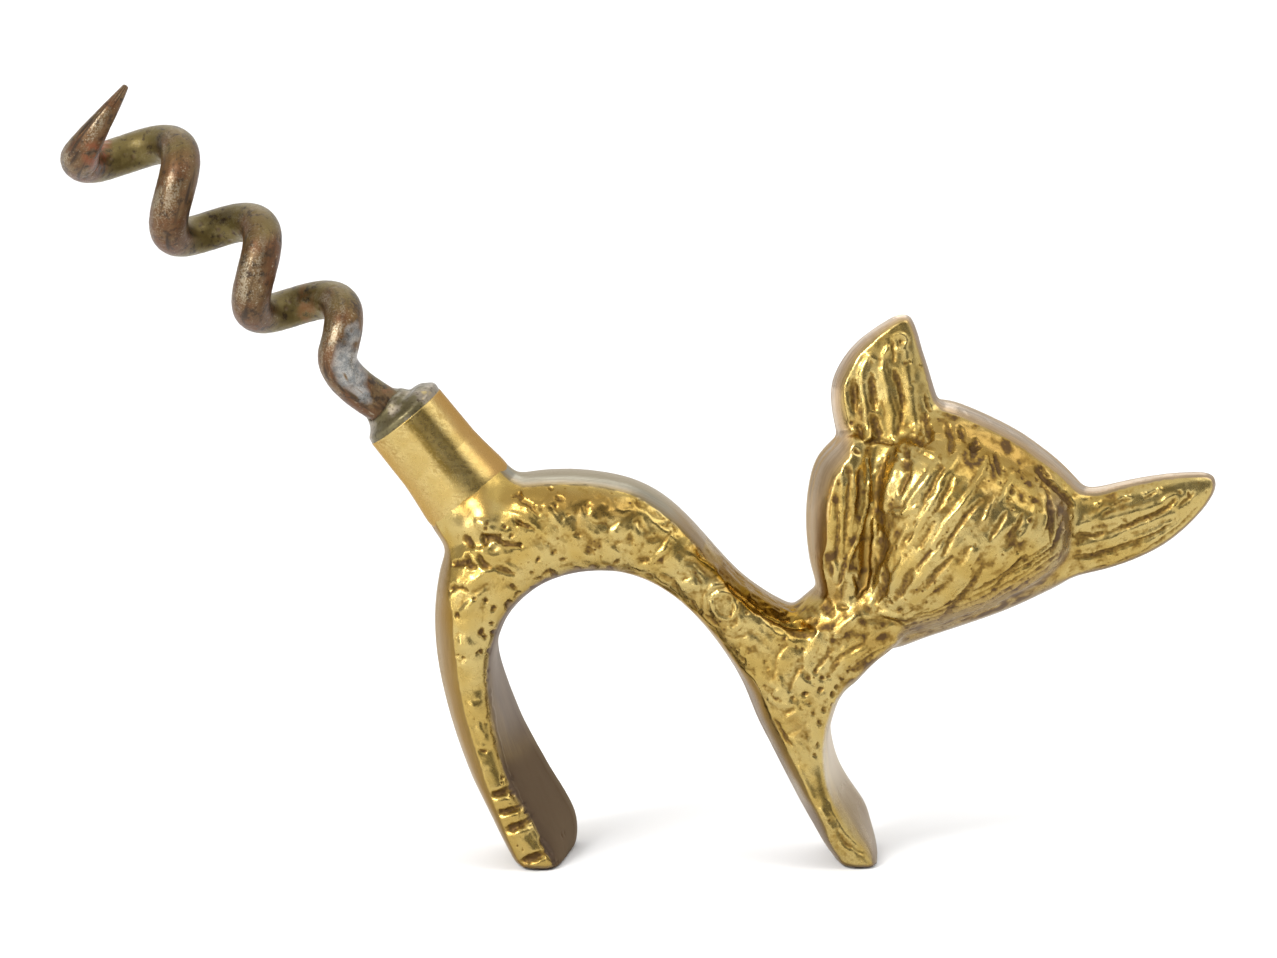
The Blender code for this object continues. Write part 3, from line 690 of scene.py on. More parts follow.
def soften_seat(mesh):
    """Smooths the fused skin in a ring round the ferrule, where the fillet meets the rump."""
    places = coordinates(mesh)
    sizes = bpy.context.scene.cat_ferrule
    base = np.array(MOUTH) - np.array(direction(sizes.tilt)) * sizes.reach
    rise, across = about_axis(places, base, sizes.tilt)
    radius = np.linalg.norm(across, axis=1)
    soft_share = mm_step(8.5, 6.5, radius) * mm_step(-2.5, -0.5, rise)
    soft_share *= mm_step(4.25, 4.6, radius) * mm_step(6, 4, rise)
    patch = new_piece("patch", mesh)
    group = patch.vertex_groups.new(name="seat")
    for i in np.nonzero(soft_share > 0.01)[0]:
        group.add([int(i)], float(soft_share[i]), "REPLACE")
    soft = patch.modifiers.new("soft", "SMOOTH")
    soft.factor = 0.6
    soft.iterations = 60
    soft.vertex_group = "seat"
    smoothed = evaluated_mesh(patch)
    bpy.data.objects.remove(patch)
    return smoothed


def fused_skin():
    """The CAD casting with the fillet added, run together and smoothed."""
    fillet = fillet_mesh()
    skin = new_piece("skin", cad_copy("cat_casting"))
    rounder = skin.modifiers.new("rounder", "SUBSURF")
    rounder.levels = rounder.render_levels = 1
    body = evaluated_mesh(skin)
    bpy.data.objects.remove(skin)
    both = bmesh.new()
    both.from_mesh(body)
    both.from_mesh(fillet)
    joined = mesh_of(both, "joined")
    return soften_seat(remeshed(joined, bpy.context.scene.cat_casting.fineness, 10))


def build_casting():
    """The cat: its skin, ground bands, worked marks, and the numbers its material reads."""
    sizes = bpy.context.scene.cat_casting
    dressed = fused_skin()
    places, normals = coordinates(dressed), vertex_normals(dressed)
    rim, rim_places = outer_rim(places, normals)
    far, nearest = rim_distance(places, rim)
    rim_width, rim_tone = spread_rows(rim_places, BAND_ROWS).T
    width = rim_width[nearest] * MM
    across = np.clip(far / width, 0.0, 1.0)
    for side in (-1.0, 1.0):
        grind_band(places, normals, far, width, side, sizes.band_slope)
    set_coordinates(dressed, places)
    normals = vertex_normals(dressed)
    height, dark, worked, speckled = casting_relief(dressed, places, normals, far, width)
    dull, warm = dull_share(places, normals), honey_and_shade_share(places, normals, worked, across)
    dark *= 1.0 - 0.75 * smooth_step(0.85, 0.97, warm)

    # Painted light: a pale reflection on the back's top band, painted shade on the hind paw's lower
    # inner face and a painted floor reflection on the fore leg
    cool = box_share(places, COOL_BACK_SHEEN) * (1.0 - 0.8 * across)
    foot = box_share(places, HIND_PAW_SHADE)
    pale = box_share(places, FORE_LEG_FLOOR_REFLECTION)
    places += normals * height[:, None]
    places[:, 2] = np.maximum(places[:, 2], 0.0)
    clear_sleeve(places)
    set_coordinates(dressed, places)

    # Painted reflection on the bands: the crown's is greyer, the cheek's lighter and those facing
    # along X brassier
    crown, cheek = box_share(places, CROWN), box_share(places, CHEEK)
    tone = rim_tone[nearest] * (1.0 + 0.9 * cheek * smooth_step(0.35, 0.85, across))
    sideways = smooth_step(0.35, 0.12, np.abs(normals[:, 1]))
    sideways = sideways * smooth_step(0.5, 0.8, np.abs(normals[:, 0]))
    band = np.maximum(across * (1.0 - 0.40 * crown), 0.7 * sideways)
    kept = {
        "tarnish": dark, "worked": worked, "dull": dull, "warm": warm, "band": band, "tone": tone,
        "speckled": speckled, "cool": cool, "foot": foot, "pale": pale,
    }
    for name, values in kept.items():
        add_number(dressed, name, values)
    casting = new_piece("brass_cat", dressed, cast_brass())
    lighter = casting.modifiers.new("lighter", "DECIMATE")
    lighter.ratio = min(1.0, sizes.triangles / (2 * len(dressed.polygons)))
    lighter.use_collapse_triangulate = True
    light = evaluated_mesh(casting)
    casting.modifiers.clear()
    casting.data = light
    light.shade_smooth()
    return finished(casting, "cat_casting")


# Rings of the fillet from its foot up: height above the seat, half width and half depth, in mm
FILLET_ROWS = (
    (-3.0, 4.30, 6.00), (-1.6, 4.60, 6.10), (-0.5, 4.72, 5.70), (0.3, 4.70, 5.10),
    (0.8, 4.62, 4.74), (1.3, 4.51, 4.53), (1.9, 4.42, 4.42), (2.3, 4.36, 4.36), (2.3, 4.30, 4.30),
    (0.0, 4.30, 4.30), (0.0, 3.80, 3.80), (-3.0, 3.80, 3.80),
)

# Deep honey-coloured places, partly stain and partly painted shade that darkens a valley and dims
# highlights: half width, rise, depth of colour, then x and z along them, in mm
HONEY_SHADE_ROWS = (
    (1.1, 0.0, 1.30, 5.0, 29.8, 7.5, 27.6, 10.0, 25.4, 13.0, 23.7, 15.5, 22.6),
    (0.7, 0.0, 0.80, 14.0, 23.0, 17.5, 23.2),
    (0.8, 0.0, 0.85, 20.8, 31.5, 20.8, 28.0, 20.5, 25.5, 20.0, 24.3),
    (1.1, 0.0, 0.65, 17.4, 26.6, 17.8, 24.6, 18.4, 22.6),
    (1.4, 0.0, 0.84, -12.5, 34.8, -9.5, 34.9, -4.0, 34.3, -1.0, 33.8),
    (1.4, 0.0, 0.80, 27.5, 41.2, 31.0, 40.0, 34.0, 38.6, 37.5, 36.2),
    (2.2, 0.0, 0.86, -18.0, 36.2, -15.2, 34.0),
    (1.0, 0.0, 0.55, 19.5, 21.0, 23.0, 22.0),
    (0.5, 0.0, 0.70, 21.0, 43.8, 21.3, 41.0),
    (0.5, 0.0, 0.70, 23.3, 44.0, 24.0, 41.0),
    (0.4, 0.0, 0.60, 19.4, 43.5, 19.8, 40.8),
    (1.2, 0.0, 0.45, 29.5, 38.0, 32.0, 36.0, 31.0, 33.0),
    (1.2, 0.0, 0.50, 25.5, 39.8, 28.5, 39.6, 31.0, 38.8),
    (1.0, 0.0, 0.60, 36.5, 36.0, 38.5, 34.5, 39.5, 31.5),
    (0.8, 0.0, 0.45, 38.0, 27.6, 40.5, 29.5),
    (1.0, 0.0, 0.35, -7.0, 34.0, -5.5, 31.5),
    (1.2, 0.0, 0.40, 3.0, 26.0, 6.0, 23.5, 8.0, 20.0),
    (0.8, 0.0, 0.45, 13.5, 15.0, 15.0, 12.5),
)

# The ground band along the outline: x, z and width in mm, and how light it is
BAND_ROWS = (
    (-18.9, 29.5, 0.35, 0.95), (-19.2, 26.5, 0.85, 0.95), (-19.3, 23.4, 1.60, 0.95),
    (-19.4, 19.5, 1.65, 0.95), (-18.9, 16.5, 1.50, 0.95), (-17.8, 13.0, 1.40, 0.95),
    (-16.6, 10.0, 1.35, 0.95), (-15.4, 7.2, 1.10, 0.95), (-14.4, 5.0, 0.85, 0.95),
    (-13.0, 2.5, 0.60, 0.95), (-12.0, 0.5, 0.40, 0.95), (-6.0, 1.0, 0.25, 1.00),
    (-6.5, 5.0, 0.25, 1.00), (-9.0, 11.0, 0.22, 1.00), (-12.0, 16.0, 0.20, 0.95),
    (-13.0, 22.0, 0.15, 0.95), (-10.0, 26.0, 0.15, 1.00), (-3.0, 27.5, 0.15, 1.00),
    (4.0, 24.5, 0.15, 1.00), (8.0, 19.5, 0.35, 1.00), (9.5, 16.0, 1.15, 0.78),
    (11.0, 12.0, 1.22, 0.78), (13.0, 8.0, 1.18, 0.78), (15.5, 4.5, 0.98, 0.78),
    (17.5, 1.0, 0.40, 0.78), (22.0, 1.0, 0.30, 1.00), (20.5, 5.0, 0.35, 1.00),
    (17.0, 10.0, 0.20, 1.00), (18.0, 15.0, 0.15, 1.00), (21.0, 19.0, 0.15, 1.00),
    (-13.0, 37.4, 0.35, 0.92), (-9.0, 36.4, 0.30, 0.90), (-5.0, 36.2, 0.30, 0.90),
    (-1.0, 36.0, 0.30, 0.92), (3.0, 34.0, 0.45, 0.95), (6.0, 31.0, 0.42, 0.85),
    (10.0, 27.0, 0.30, 0.85), (14.0, 24.0, 0.18, 0.80), (16.5, 27.0, 0.70, 1.30),
    (16.2, 32.0, 1.60, 1.30), (15.6, 38.0, 1.70, 1.30), (17.0, 43.0, 1.05, 1.85),
    (18.5, 45.0, 0.95, 2.20), (20.5, 48.0, 0.85, 2.20), (23.0, 50.5, 0.60, 2.20),
    (25.2, 51.3, 0.30, 1.45), (26.5, 47.0, 0.30, 1.45), (27.2, 43.5, 0.35, 1.45),
    (30.0, 42.0, 0.50, 1.40), (33.0, 40.6, 0.55, 1.40), (36.0, 39.0, 0.60, 1.40),
    (39.0, 36.4, 0.50, 1.40), (42.0, 35.4, 0.40, 1.25), (46.0, 36.0, 0.30, 1.25),
    (50.0, 36.7, 0.26, 1.25), (53.0, 37.4, 0.24, 1.25), (53.0, 36.0, 0.24, 1.25),
    (49.0, 31.0, 0.25, 1.10), (44.0, 28.0, 0.20, 1.10), (39.0, 26.0, 0.20, 1.10),
    (33.0, 23.0, 0.20, 1.10), (27.0, 21.5, 0.20, 1.10),
)

# How the near skin changes: x, z, and the shares of lumps, fur strokes, strewn pits and grime
SKIN_ROWS = (
    (-15.5, 35.0, 0.15, 0.0, 0.00, 0.05), (-14.0, 30.0, 0.70, 0.0, 0.35, 0.22),
    (-10.0, 31.0, 0.90, 0.0, 0.40, 0.25), (-5.0, 33.0, 1.05, 0.0, 0.25, 0.30),
    (1.0, 31.0, 1.15, 0.0, 0.20, 0.32), (6.0, 26.5, 1.15, 0.0, 0.20, 0.30),
    (11.0, 22.0, 1.05, 0.0, 0.25, 0.30), (14.0, 17.0, 1.00, 0.0, 0.50, 0.30),
    (16.0, 12.0, 0.50, 0.0, 0.30, 0.25), (18.0, 7.0, 0.22, 0.0, 0.15, 0.15),
    (20.0, 3.0, 0.35, 0.0, 0.25, 0.25), (-16.5, 22.0, 0.25, 0.0, 0.30, 0.05),
    (-16.0, 15.0, 0.05, 0.0, 0.05, 0.00), (-13.5, 8.0, 0.05, 0.0, 0.05, 0.00),
    (-10.5, 3.0, 0.12, 0.0, 0.10, 0.05), (20.0, 25.0, 0.50, 0.5, 0.05, 0.60),
    (17.6, 24.6, 0.40, 0.2, 0.05, 0.75), (19.0, 33.0, 0.35, 0.2, 0.20, 0.72),
    (19.0, 20.5, 0.80, 0.2, 0.10, 0.56), (23.5, 31.0, 0.30, 1.0, 0.20, 0.48),
    (27.0, 29.0, 0.30, 1.0, 0.20, 0.45), (26.0, 36.0, 0.30, 1.0, 0.15, 0.15),
    (31.0, 33.0, 0.30, 0.9, 0.15, 0.34), (36.0, 33.0, 0.35, 0.9, 0.25, 0.42),
    (30.0, 38.0, 0.35, 0.8, 0.15, 0.52), (31.5, 41.0, 0.40, 0.6, 0.30, 0.80),
    (37.0, 37.5, 0.40, 0.6, 0.30, 0.70), (34.0, 26.0, 0.20, 0.6, 0.0, 0.60),
    (41.0, 31.0, 0.50, 0.4, 0.35, 0.45), (22.0, 43.0, 0.60, 0.1, 0.35, 0.50),
    (24.0, 47.0, 0.50, 0.0, 0.30, 0.22), (46.0, 33.5, 0.60, 0.0, 0.10, 0.30),
    (50.0, 35.0, 0.55, 0.0, 0.10, 0.12),
)

# Places left dull and grey: half width, rise, share, then x and z along them, in mm
DULL_ROWS = (
    (1.1, 0.0, 0.85, 7.5, 19.5, 9.5, 16.0, 11.0, 12.0, 13.2, 8.0, 15.8, 4.0, 17.6, 1.0),
)

# Where worked skin runs on over the top edge: half width, rise, share, then x and z, in mm
OVER_ROWS = (
    (1.3, 0.0, 0.20, 27.5, 43.6, 30.0, 42.5, 33.5, 40.9, 36.5, 39.1),
    (1.8, 0.0, 0.9, 6.5, 29.6, 9.0, 27.4, 12.0, 25.2, 14.6, 23.6, 16.6, 24.4),
)

# Marks on the near side, in whole numbers: half width and rise in hundredths of a mm (a cut has a
# negative rise), tarnish in per cent, then x and z along the mark in tenths of a mm
STROKES = (
    # Hind paw: claws
    (45, -40, 95, -142, 71, -123, 76), (41, -39, 95, -135, 55, -115, 60),
    (47, -41, 95, -128, 38, -107, 47), (47, -41, 95, -113, 8, -91, 17),
    (39, -35, 95, -90, 3, -77, 3), (33, 12, 0, -138, 64, -121, 69), (33, 12, 0, -131, 49, -113, 54),
    (33, 12, 0, -122, 34, -104, 39), (33, 13, 0, -108, 4, -90, 11),
    # Hind leg: ridge along its inner edge
    (24, 16, 0, -142, 168, -138, 131, -130, 102, -122, 79, -110, 55, -99, 34, -88, 17, -81, 6),
    (20, -8, 25, -114, 53, -105, 32, -95, 18), (28, -30, 85, -96, 30, -88, 19, -84, 11),
    # Hind leg: pits and shallow bands
    (20, -26, 100, -171, 202), (20, -26, 100, -166, 200), (30, -26, 100, -151, 206),
    (17, -26, 100, -155, 204), (34, -26, 100, -142, 205), (24, -26, 100, -138, 210),
    (45, -26, 100, -149, 224), (28, -26, 100, -146, 219), (30, -26, 100, -138, 223),
    (26, -26, 100, -140, 232), (41, -26, 100, -124, 250), (37, -26, 100, -138, 246),
    (34, -26, 100, -172, 241), (22, -26, 100, -155, 257), (34, -26, 100, -145, 255),
    (24, -26, 100, -122, 85), (20, -26, 100, -130, 87), (15, -26, 100, -131, 82),
    (22, -26, 100, -121, 72), (13, -26, 100, -117, 24), (15, -26, 100, -112, 21),
    (19, -26, 100, -143, 187), (17, -26, 100, -144, 177), (17, -26, 100, -110, 61),
    (19, -26, 100, -109, 54), (19, -26, 100, -103, 49),
    (51, -3, 12, -177, 202, -155, 202, -142, 205), (51, -3, 12, -171, 183, -155, 184, -144, 184),
    (51, -3, 15, -169, 169, -155, 170, -144, 170), (51, -3, 12, -166, 137, -151, 138, -140, 140),
    (51, -3, 12, -157, 111, -145, 112, -134, 116), (14, -12, 60, -169, 159),
    (13, -12, 60, -164, 158), (14, -12, 60, -157, 158), (13, -12, 60, -153, 159),
    (13, -12, 60, -157, 142), (14, -12, 60, -153, 143), (13, -12, 60, -148, 141),
    (17, -12, 60, -144, 143), (12, -12, 60, -155, 139), (12, -12, 60, -147, 138),
    (13, -12, 60, -141, 163), (13, -12, 60, -143, 151), (13, -12, 60, -137, 128),
    (13, -12, 60, -134, 107), (13, -12, 60, -126, 93),
    (19, -20, 90, -151, 112, -147, 111, -145, 113), (22, 16, 0, -152, 115, -146, 116),
    (51, 5, 0, -153, 98, -144, 100), (140, 30, 0, -158, 259, -161, 231, -158, 203, -153, 179),
    (112, 16, 0, -153, 160, -148, 145), (47, 15, 0, -170, 219, -168, 205),
    (47, 15, 0, -166, 196, -165, 185), (47, 14, 0, -159, 158, -156, 148),
    (47, 14, 0, -152, 138, -149, 128), (102, 11, 0, -145, 128, -142, 118),
    (93, 20, 0, -166, 217, -162, 207),
    # Rump: rows of gouges
    (47, -33, 90, -164, 312, -159, 305), (39, -30, 85, -148, 315, -145, 306),
    (41, -33, 90, -147, 313, -135, 313, -129, 308), (41, -33, 90, -129, 308, -121, 307, -113, 306),
    (28, -30, 90, -121, 316, -120, 314), (32, -30, 90, -114, 308, -112, 304),
    (39, -33, 90, -179, 284, -167, 289, -161, 291), (37, -33, 90, -163, 295, -160, 286, -154, 286),
    (34, -30, 85, -152, 296, -147, 287, -141, 286), (32, -28, 85, -136, 286, -125, 282, -119, 279),
    (30, -28, 80, -182, 258, -176, 265, -169, 265, -162, 264),
    (30, -26, 80, -118, 329, -110, 325, -100, 321), (28, -25, 80, -117, 327, -113, 326),
    (28, -24, 75, -121, 350, -115, 352, -112, 346, -101, 340, -97, 335),
    (22, -22, 70, -90, 360, -83, 356), (26, -24, 80, -80, 350, -75, 348),
    (20, -22, 70, -70, 335, -68, 334), (28, -26, 90, -98, 292, -95, 295),
    (37, -26, 90, -83, 301, -82, 299), (28, -22, 80, -76, 292, -71, 293),
    (47, -24, 90, -52, 301, -47, 301), (22, -20, 80, -105, 279, -100, 280),
    (19, -20, 80, -97, 274, -94, 274), (32, -24, 85, -92, 277, -85, 280, -80, 274),
    (28, -24, 85, -91, 270, -84, 271), (32, -24, 85, -122, 268, -117, 264),
    (35, -26, 90, -124, 254, -124, 245), (28, -24, 80, -114, 261, -116, 258),
    (22, -22, 80, -103, 264, -99, 265), (26, -24, 80, -129, 233, -126, 235),
    (22, -20, 80, -87, 309, -86, 307), (19, -18, 70, -129, 276, -128, 275),
    (28, -23, 80, -63, 316, -56, 317), (28, -20, 70, -52, 345, -51, 336),
    (24, -20, 70, -64, 282, -58, 282), (26, -20, 70, -49, 284, -43, 284),
    (28, -22, 80, -26, 288, -23, 292), (24, -20, 80, -32, 283, -29, 281),
    # Rump: soft swellings
    (84, 26, 0, -152, 327, -141, 322, -126, 319), (84, 24, 0, -154, 300, -139, 296, -123, 298),
    (84, 27, 0, -162, 266, -149, 277, -139, 284), (74, 25, 0, -167, 243, -156, 253, -147, 262),
    (56, 14, 0, -119, 334, -106, 330, -97, 321),
    (47, 16, 0, -99, 344, -87, 339, -80, 332, -75, 322), (47, 14, 0, -91, 345, -83, 341),
    (42, 14, 0, -71, 330, -74, 318), (47, 16, 0, -49, 334, -42, 329),
    (47, 15, 0, -28, 320, -25, 317), (37, 12, 0, -52, 321, -40, 314),
    (56, 11, 0, -174, 274, -169, 264), (47, 11, 0, -160, 303, -148, 300),
    # Back: scales
    (37, -15, 45, -60, 339, -62, 325, -58, 313), (37, -12, 50, -37, 330, -30, 323, -23, 328),
    (37, -15, 50, -10, 325, -4, 331, -1, 320), (56, 13, 0, -5, 322, -4, 311, -7, 300),
    (28, -13, 50, -12, 318, -11, 306), (37, -15, 50, 5, 311, 12, 314, 20, 310),
    (37, 15, 0, 7, 289, 16, 298, 22, 303), (37, 13, 0, 33, 292, 35, 281),
    (28, -16, 60, 23, 322, 27, 327, 31, 318), (32, -13, 55, 25, 316, 18, 308, 12, 301),
    (37, -17, 60, 39, 292, 48, 289, 55, 282, 64, 275), (37, -15, 50, 44, 305, 53, 307, 56, 301),
    (47, 14, 0, 36, 268, 47, 273, 51, 263), (47, 14, 0, 40, 263, 49, 268),
    (37, -16, 60, 16, 277, 27, 272, 34, 261), (28, -18, 70, 3, 276, 8, 273),
    (28, -18, 70, 11, 268, 23, 261, 34, 253), (28, -18, 70, -3, 290, 5, 292),
    (28, -18, 70, 44, 251, 50, 243), (28, -18, 70, 58, 238, 68, 230),
    (28, -18, 70, -19, 277, -8, 277), (37, -13, 40, -28, 306, -19, 311),
    (47, -11, 35, -43, 354, -34, 347, -27, 340), (47, 11, 0, -32, 343, -19, 337, -10, 338),
    (37, -12, 40, -3, 346, 7, 336, 20, 330), (37, 11, 0, 7, 329, 20, 318, 31, 310),
    (28, -16, 70, -4, 347, -2, 341), (37, -14, 50, -3, 329, 3, 320),
    (37, 12, 0, 53, 291, 64, 285, 73, 276),
    # Shoulder: the ring
    (28, 26, 0, 64, 254, 65, 246, 69, 240), (28, 26, 0, 85, 252, 86, 243, 82, 236),
    (26, 20, 0, 65, 256, 71, 261, 79, 260, 84, 254), (26, 20, 0, 69, 239, 75, 236, 82, 236),
    (20, -14, 40, 60, 254, 60, 242, 66, 234), (20, -12, 40, 60, 257, 68, 265, 79, 266, 88, 259),
    (61, -6, 5, 74, 249, 75, 248), (28, 15, 0, 77, 229, 83, 225, 90, 230, 90, 237),
    (20, -12, 50, 75, 220, 86, 218, 95, 222), (22, 11, 0, 56, 254, 58, 262, 68, 268, 79, 270),
    (24, -15, 50, 53, 241, 55, 256, 62, 268),
    # Shoulder: hollow along its top
    (74, -33, 42, 73, 279, 90, 262, 107, 247, 122, 236, 141, 228, 157, 225),
    (56, -20, 45, 53, 298, 67, 287, 79, 273), (47, -20, 50, 130, 232, 146, 229, 159, 233),
    (33, 16, 0, 110, 233, 122, 224, 136, 216, 143, 209), (22, 12, 0, 79, 276, 92, 263, 101, 255),
    (28, -22, 80, 95, 242, 97, 241), (61, -16, 75, 116, 241, 131, 233, 144, 227, 157, 225),
    (37, -16, 70, 101, 254, 110, 246, 120, 239), (33, -14, 80, 134, 224, 146, 220, 155, 220),
    (28, 14, 0, 95, 263, 106, 251, 116, 241),
    # Shoulder and fore leg
    (37, 14, 0, 113, 217, 116, 205), (56, 15, 0, 106, 186, 109, 170, 118, 161),
    (47, 16, 0, 127, 181, 129, 171, 123, 165), (47, 15, 0, 118, 159, 129, 154, 142, 156),
    (47, 16, 0, 131, 139, 142, 149, 148, 157), (37, 14, 0, 91, 209, 92, 197),
    (37, -16, 50, 122, 190, 125, 203, 132, 212), (37, -16, 55, 136, 170, 142, 184, 146, 193),
    (47, -13, 40, 112, 193, 118, 179, 123, 190), (37, -11, 35, 132, 126, 142, 131, 153, 139),
    (28, -18, 70, 90, 201, 94, 195), (28, -18, 70, 104, 167, 111, 155, 116, 144),
    (28, -20, 80, 122, 140, 127, 131, 137, 117), (56, 12, 0, 142, 120, 149, 111, 152, 101),
    (47, 12, 0, 146, 95, 152, 79, 159, 64), (32, 13, 0, 166, 60, 171, 47, 176, 38),
    (37, -11, 35, 99, 226, 110, 217, 120, 207), (24, -24, 90, 113, 196), (17, -24, 90, 115, 190),
    (22, -24, 90, 143, 196), (32, -24, 90, 166, 181), (22, -24, 90, 172, 182),
    (37, -24, 90, 151, 166), (39, -24, 90, 164, 170), (39, -24, 90, 176, 165),
    (34, -24, 90, 168, 151), (26, -24, 90, 158, 147), (32, -24, 90, 164, 139),
    (19, -24, 90, 176, 154), (41, -24, 90, 153, 181), (30, -24, 90, 161, 187),
    (26, -24, 90, 148, 207), (22, -24, 90, 143, 209), (20, -24, 90, 155, 156),
    (19, -24, 90, 146, 153), (24, -24, 90, 162, 118), (22, -24, 90, 160, 108),
    (22, -24, 90, 173, 47), (28, -24, 90, 139, 162), (22, -24, 90, 179, 171),
    (20, -24, 90, 183, 179), (20, -24, 90, 190, 186), (19, -24, 90, 181, 159),
    (22, -24, 90, 153, 127), (19, -24, 90, 170, 160), (19, -24, 90, 189, 167),
    # Fore leg: ridge along its inner edge
    (22, 13, 0, 173, 65, 181, 45, 193, 30, 207, 16, 215, 9),
    (22, -15, 60, 181, 38, 193, 24, 204, 14), (28, -18, 70, 185, 31, 193, 21),
    # Neck: ropes between the shoulder and the head
    (61, 17, 0, 151, 198, 157, 209, 162, 222), (74, 33, 0, 179, 220, 187, 229, 197, 239),
    (56, 12, 0, 184, 203, 194, 211, 203, 219), (47, 15, 0, 179, 186, 192, 198, 207, 209),
    (37, 12, 0, 208, 217, 219, 225, 230, 230), (30, -18, 75, 159, 187, 168, 198, 173, 209),
    (30, -18, 70, 175, 194, 188, 204, 203, 213), (30, -17, 70, 194, 188, 207, 199, 223, 208),
    (28, 16, 0, 192, 186, 207, 201, 223, 211, 241, 217),
    (37, -22, 60, 206, 236, 219, 238, 232, 234, 243, 227),
    (47, 16, 0, 219, 243, 234, 241, 247, 239), (37, -20, 65, 181, 248, 188, 246),
    (74, -16, 85, 166, 250, 175, 242),
    # Cheek
    (28, 26, 0, 208, 384, 209, 364, 207, 341, 203, 326, 198, 308, 192, 295, 187, 280, 182, 264),
    (65, -19, 30, 207, 327, 206, 304, 207, 285, 203, 266, 196, 255),
    (32, 15, 0, 213, 328, 213, 304, 212, 281, 209, 262),
    (28, -22, 80, 178, 347, 180, 329, 179, 305, 180, 289),
    (26, -20, 75, 188, 385, 191, 366, 189, 343, 188, 319, 185, 298),
    (20, 14, 0, 183, 379, 185, 356, 184, 329, 183, 302),
    (20, 14, 0, 193, 379, 196, 356, 194, 333, 191, 312),
    (24, -18, 70, 200, 374, 201, 351, 199, 333),
    (24, -18, 70, 172, 386, 173, 370, 172, 347, 171, 328), (19, 11, 0, 177, 383, 176, 356),
    (30, -22, 80, 188, 291, 185, 280, 181, 267), (37, 15, 0, 176, 289, 179, 279, 177, 272),
    (28, -20, 70, 196, 277, 201, 264, 199, 255),
    # Head: fur strokes
    (74, 34, 0, 234, 381, 230, 369, 225, 354, 222, 339),
    (37, -26, 75, 224, 384, 218, 369, 215, 351, 216, 337),
    (32, -28, 80, 245, 378, 240, 367, 236, 356),
    (56, 21, 0, 241, 340, 247, 352, 254, 363, 262, 374, 268, 384),
    (43, 20, 0, 228, 339, 241, 339, 251, 345), (37, -23, 70, 275, 379, 265, 365, 258, 352),
    (56, 21, 0, 251, 325, 256, 334, 264, 348, 273, 362),
    (37, -23, 65, 284, 372, 277, 357, 271, 345),
    (56, 20, 0, 296, 403, 292, 393, 284, 382, 276, 372), (37, -21, 65, 241, 314, 247, 322),
    (43, 26, 0, 266, 309, 272, 319, 277, 329, 285, 340, 294, 351, 303, 363, 311, 374, 318, 386),
    (37, -23, 75, 275, 301, 282, 316, 289, 327, 298, 340, 310, 352),
    (47, -21, 60, 253, 308, 260, 319, 267, 333),
    (74, 22, 0, 250, 273, 259, 288, 268, 301, 278, 311),
    (37, -23, 75, 260, 270, 271, 286, 284, 301),
    (84, 26, 0, 265, 245, 278, 260, 290, 276, 299, 291, 304, 305),
    (43, -25, 80, 275, 234, 291, 255, 303, 271, 312, 289),
    (47, -23, 75, 233, 257, 241, 272, 247, 287), (65, 17, 0, 228, 266, 235, 286, 241, 301),
    (47, -23, 80, 219, 292, 222, 307, 221, 316), (47, -21, 75, 216, 254, 223, 270, 224, 284),
    (37, 17, 0, 311, 330, 317, 341, 322, 352), (37, -21, 70, 319, 316, 326, 329, 334, 341),
    (47, 20, 0, 330, 351, 336, 361, 343, 371), (47, 17, 0, 315, 282, 328, 296, 339, 307),
    (37, -23, 75, 322, 266, 338, 284, 353, 299),
    (47, 17, 0, 303, 240, 321, 259, 339, 273, 357, 288),
    (37, -21, 70, 335, 315, 345, 329, 349, 337), (56, 15, 0, 347, 315, 356, 332, 360, 345),
    (37, 17, 0, 371, 326, 374, 341, 370, 354, 364, 364),
    (28, -23, 90, 377, 311, 378, 334, 375, 351, 369, 361),
    (43, -25, 85, 282, 414, 285, 403, 283, 393), (37, -25, 90, 293, 411, 296, 401),
    (47, -30, 95, 307, 400, 306, 393, 304, 387), (37, -28, 95, 302, 396, 312, 395),
    (32, -28, 95, 326, 387, 329, 377, 330, 373), (28, -25, 95, 322, 383, 324, 376),
    (42, 22, 0, 236, 391, 237, 388), (37, 21, 0, 253, 399, 259, 394, 268, 391, 271, 385),
    (37, -25, 90, 242, 395, 244, 387), (37, -25, 85, 249, 403, 259, 399),
    (47, -28, 90, 239, 380, 246, 384), (20, -19, 85, 349, 373), (22, -19, 85, 350, 367),
    (17, -19, 85, 353, 363), (19, -19, 85, 364, 364), (19, -19, 85, 367, 359),
    (28, -19, 85, 340, 357), (20, -19, 85, 336, 353), (20, -19, 85, 349, 350),
    (32, -19, 85, 361, 349), (34, -19, 85, 356, 332), (22, -19, 85, 347, 322),
    (19, -19, 85, 366, 338), (17, -19, 85, 341, 344), (11, -19, 85, 259, 377),
    (11, -19, 85, 245, 353), (13, -19, 85, 276, 272), (11, -19, 85, 253, 286),
    (22, -19, 85, 237, 247), (28, -19, 85, 228, 253), (17, -19, 85, 242, 258),
    (13, -19, 85, 292, 268), (20, -19, 85, 223, 260), (15, -19, 85, 283, 257),
    (20, -19, 85, 262, 256), (19, -19, 85, 334, 375), (17, -19, 85, 316, 377),
    (19, -19, 85, 330, 365), (19, -19, 85, 233, 306), (15, -19, 85, 241, 300),
    (15, -19, 85, 269, 276), (20, -19, 85, 290, 297), (19, -19, 85, 306, 311),
    (19, -19, 85, 331, 301), (17, -19, 85, 345, 303), (17, -19, 85, 315, 272),
    (15, -19, 85, 302, 256), (19, -19, 85, 273, 353), (17, -19, 85, 284, 353),
    (19, -19, 85, 280, 363),
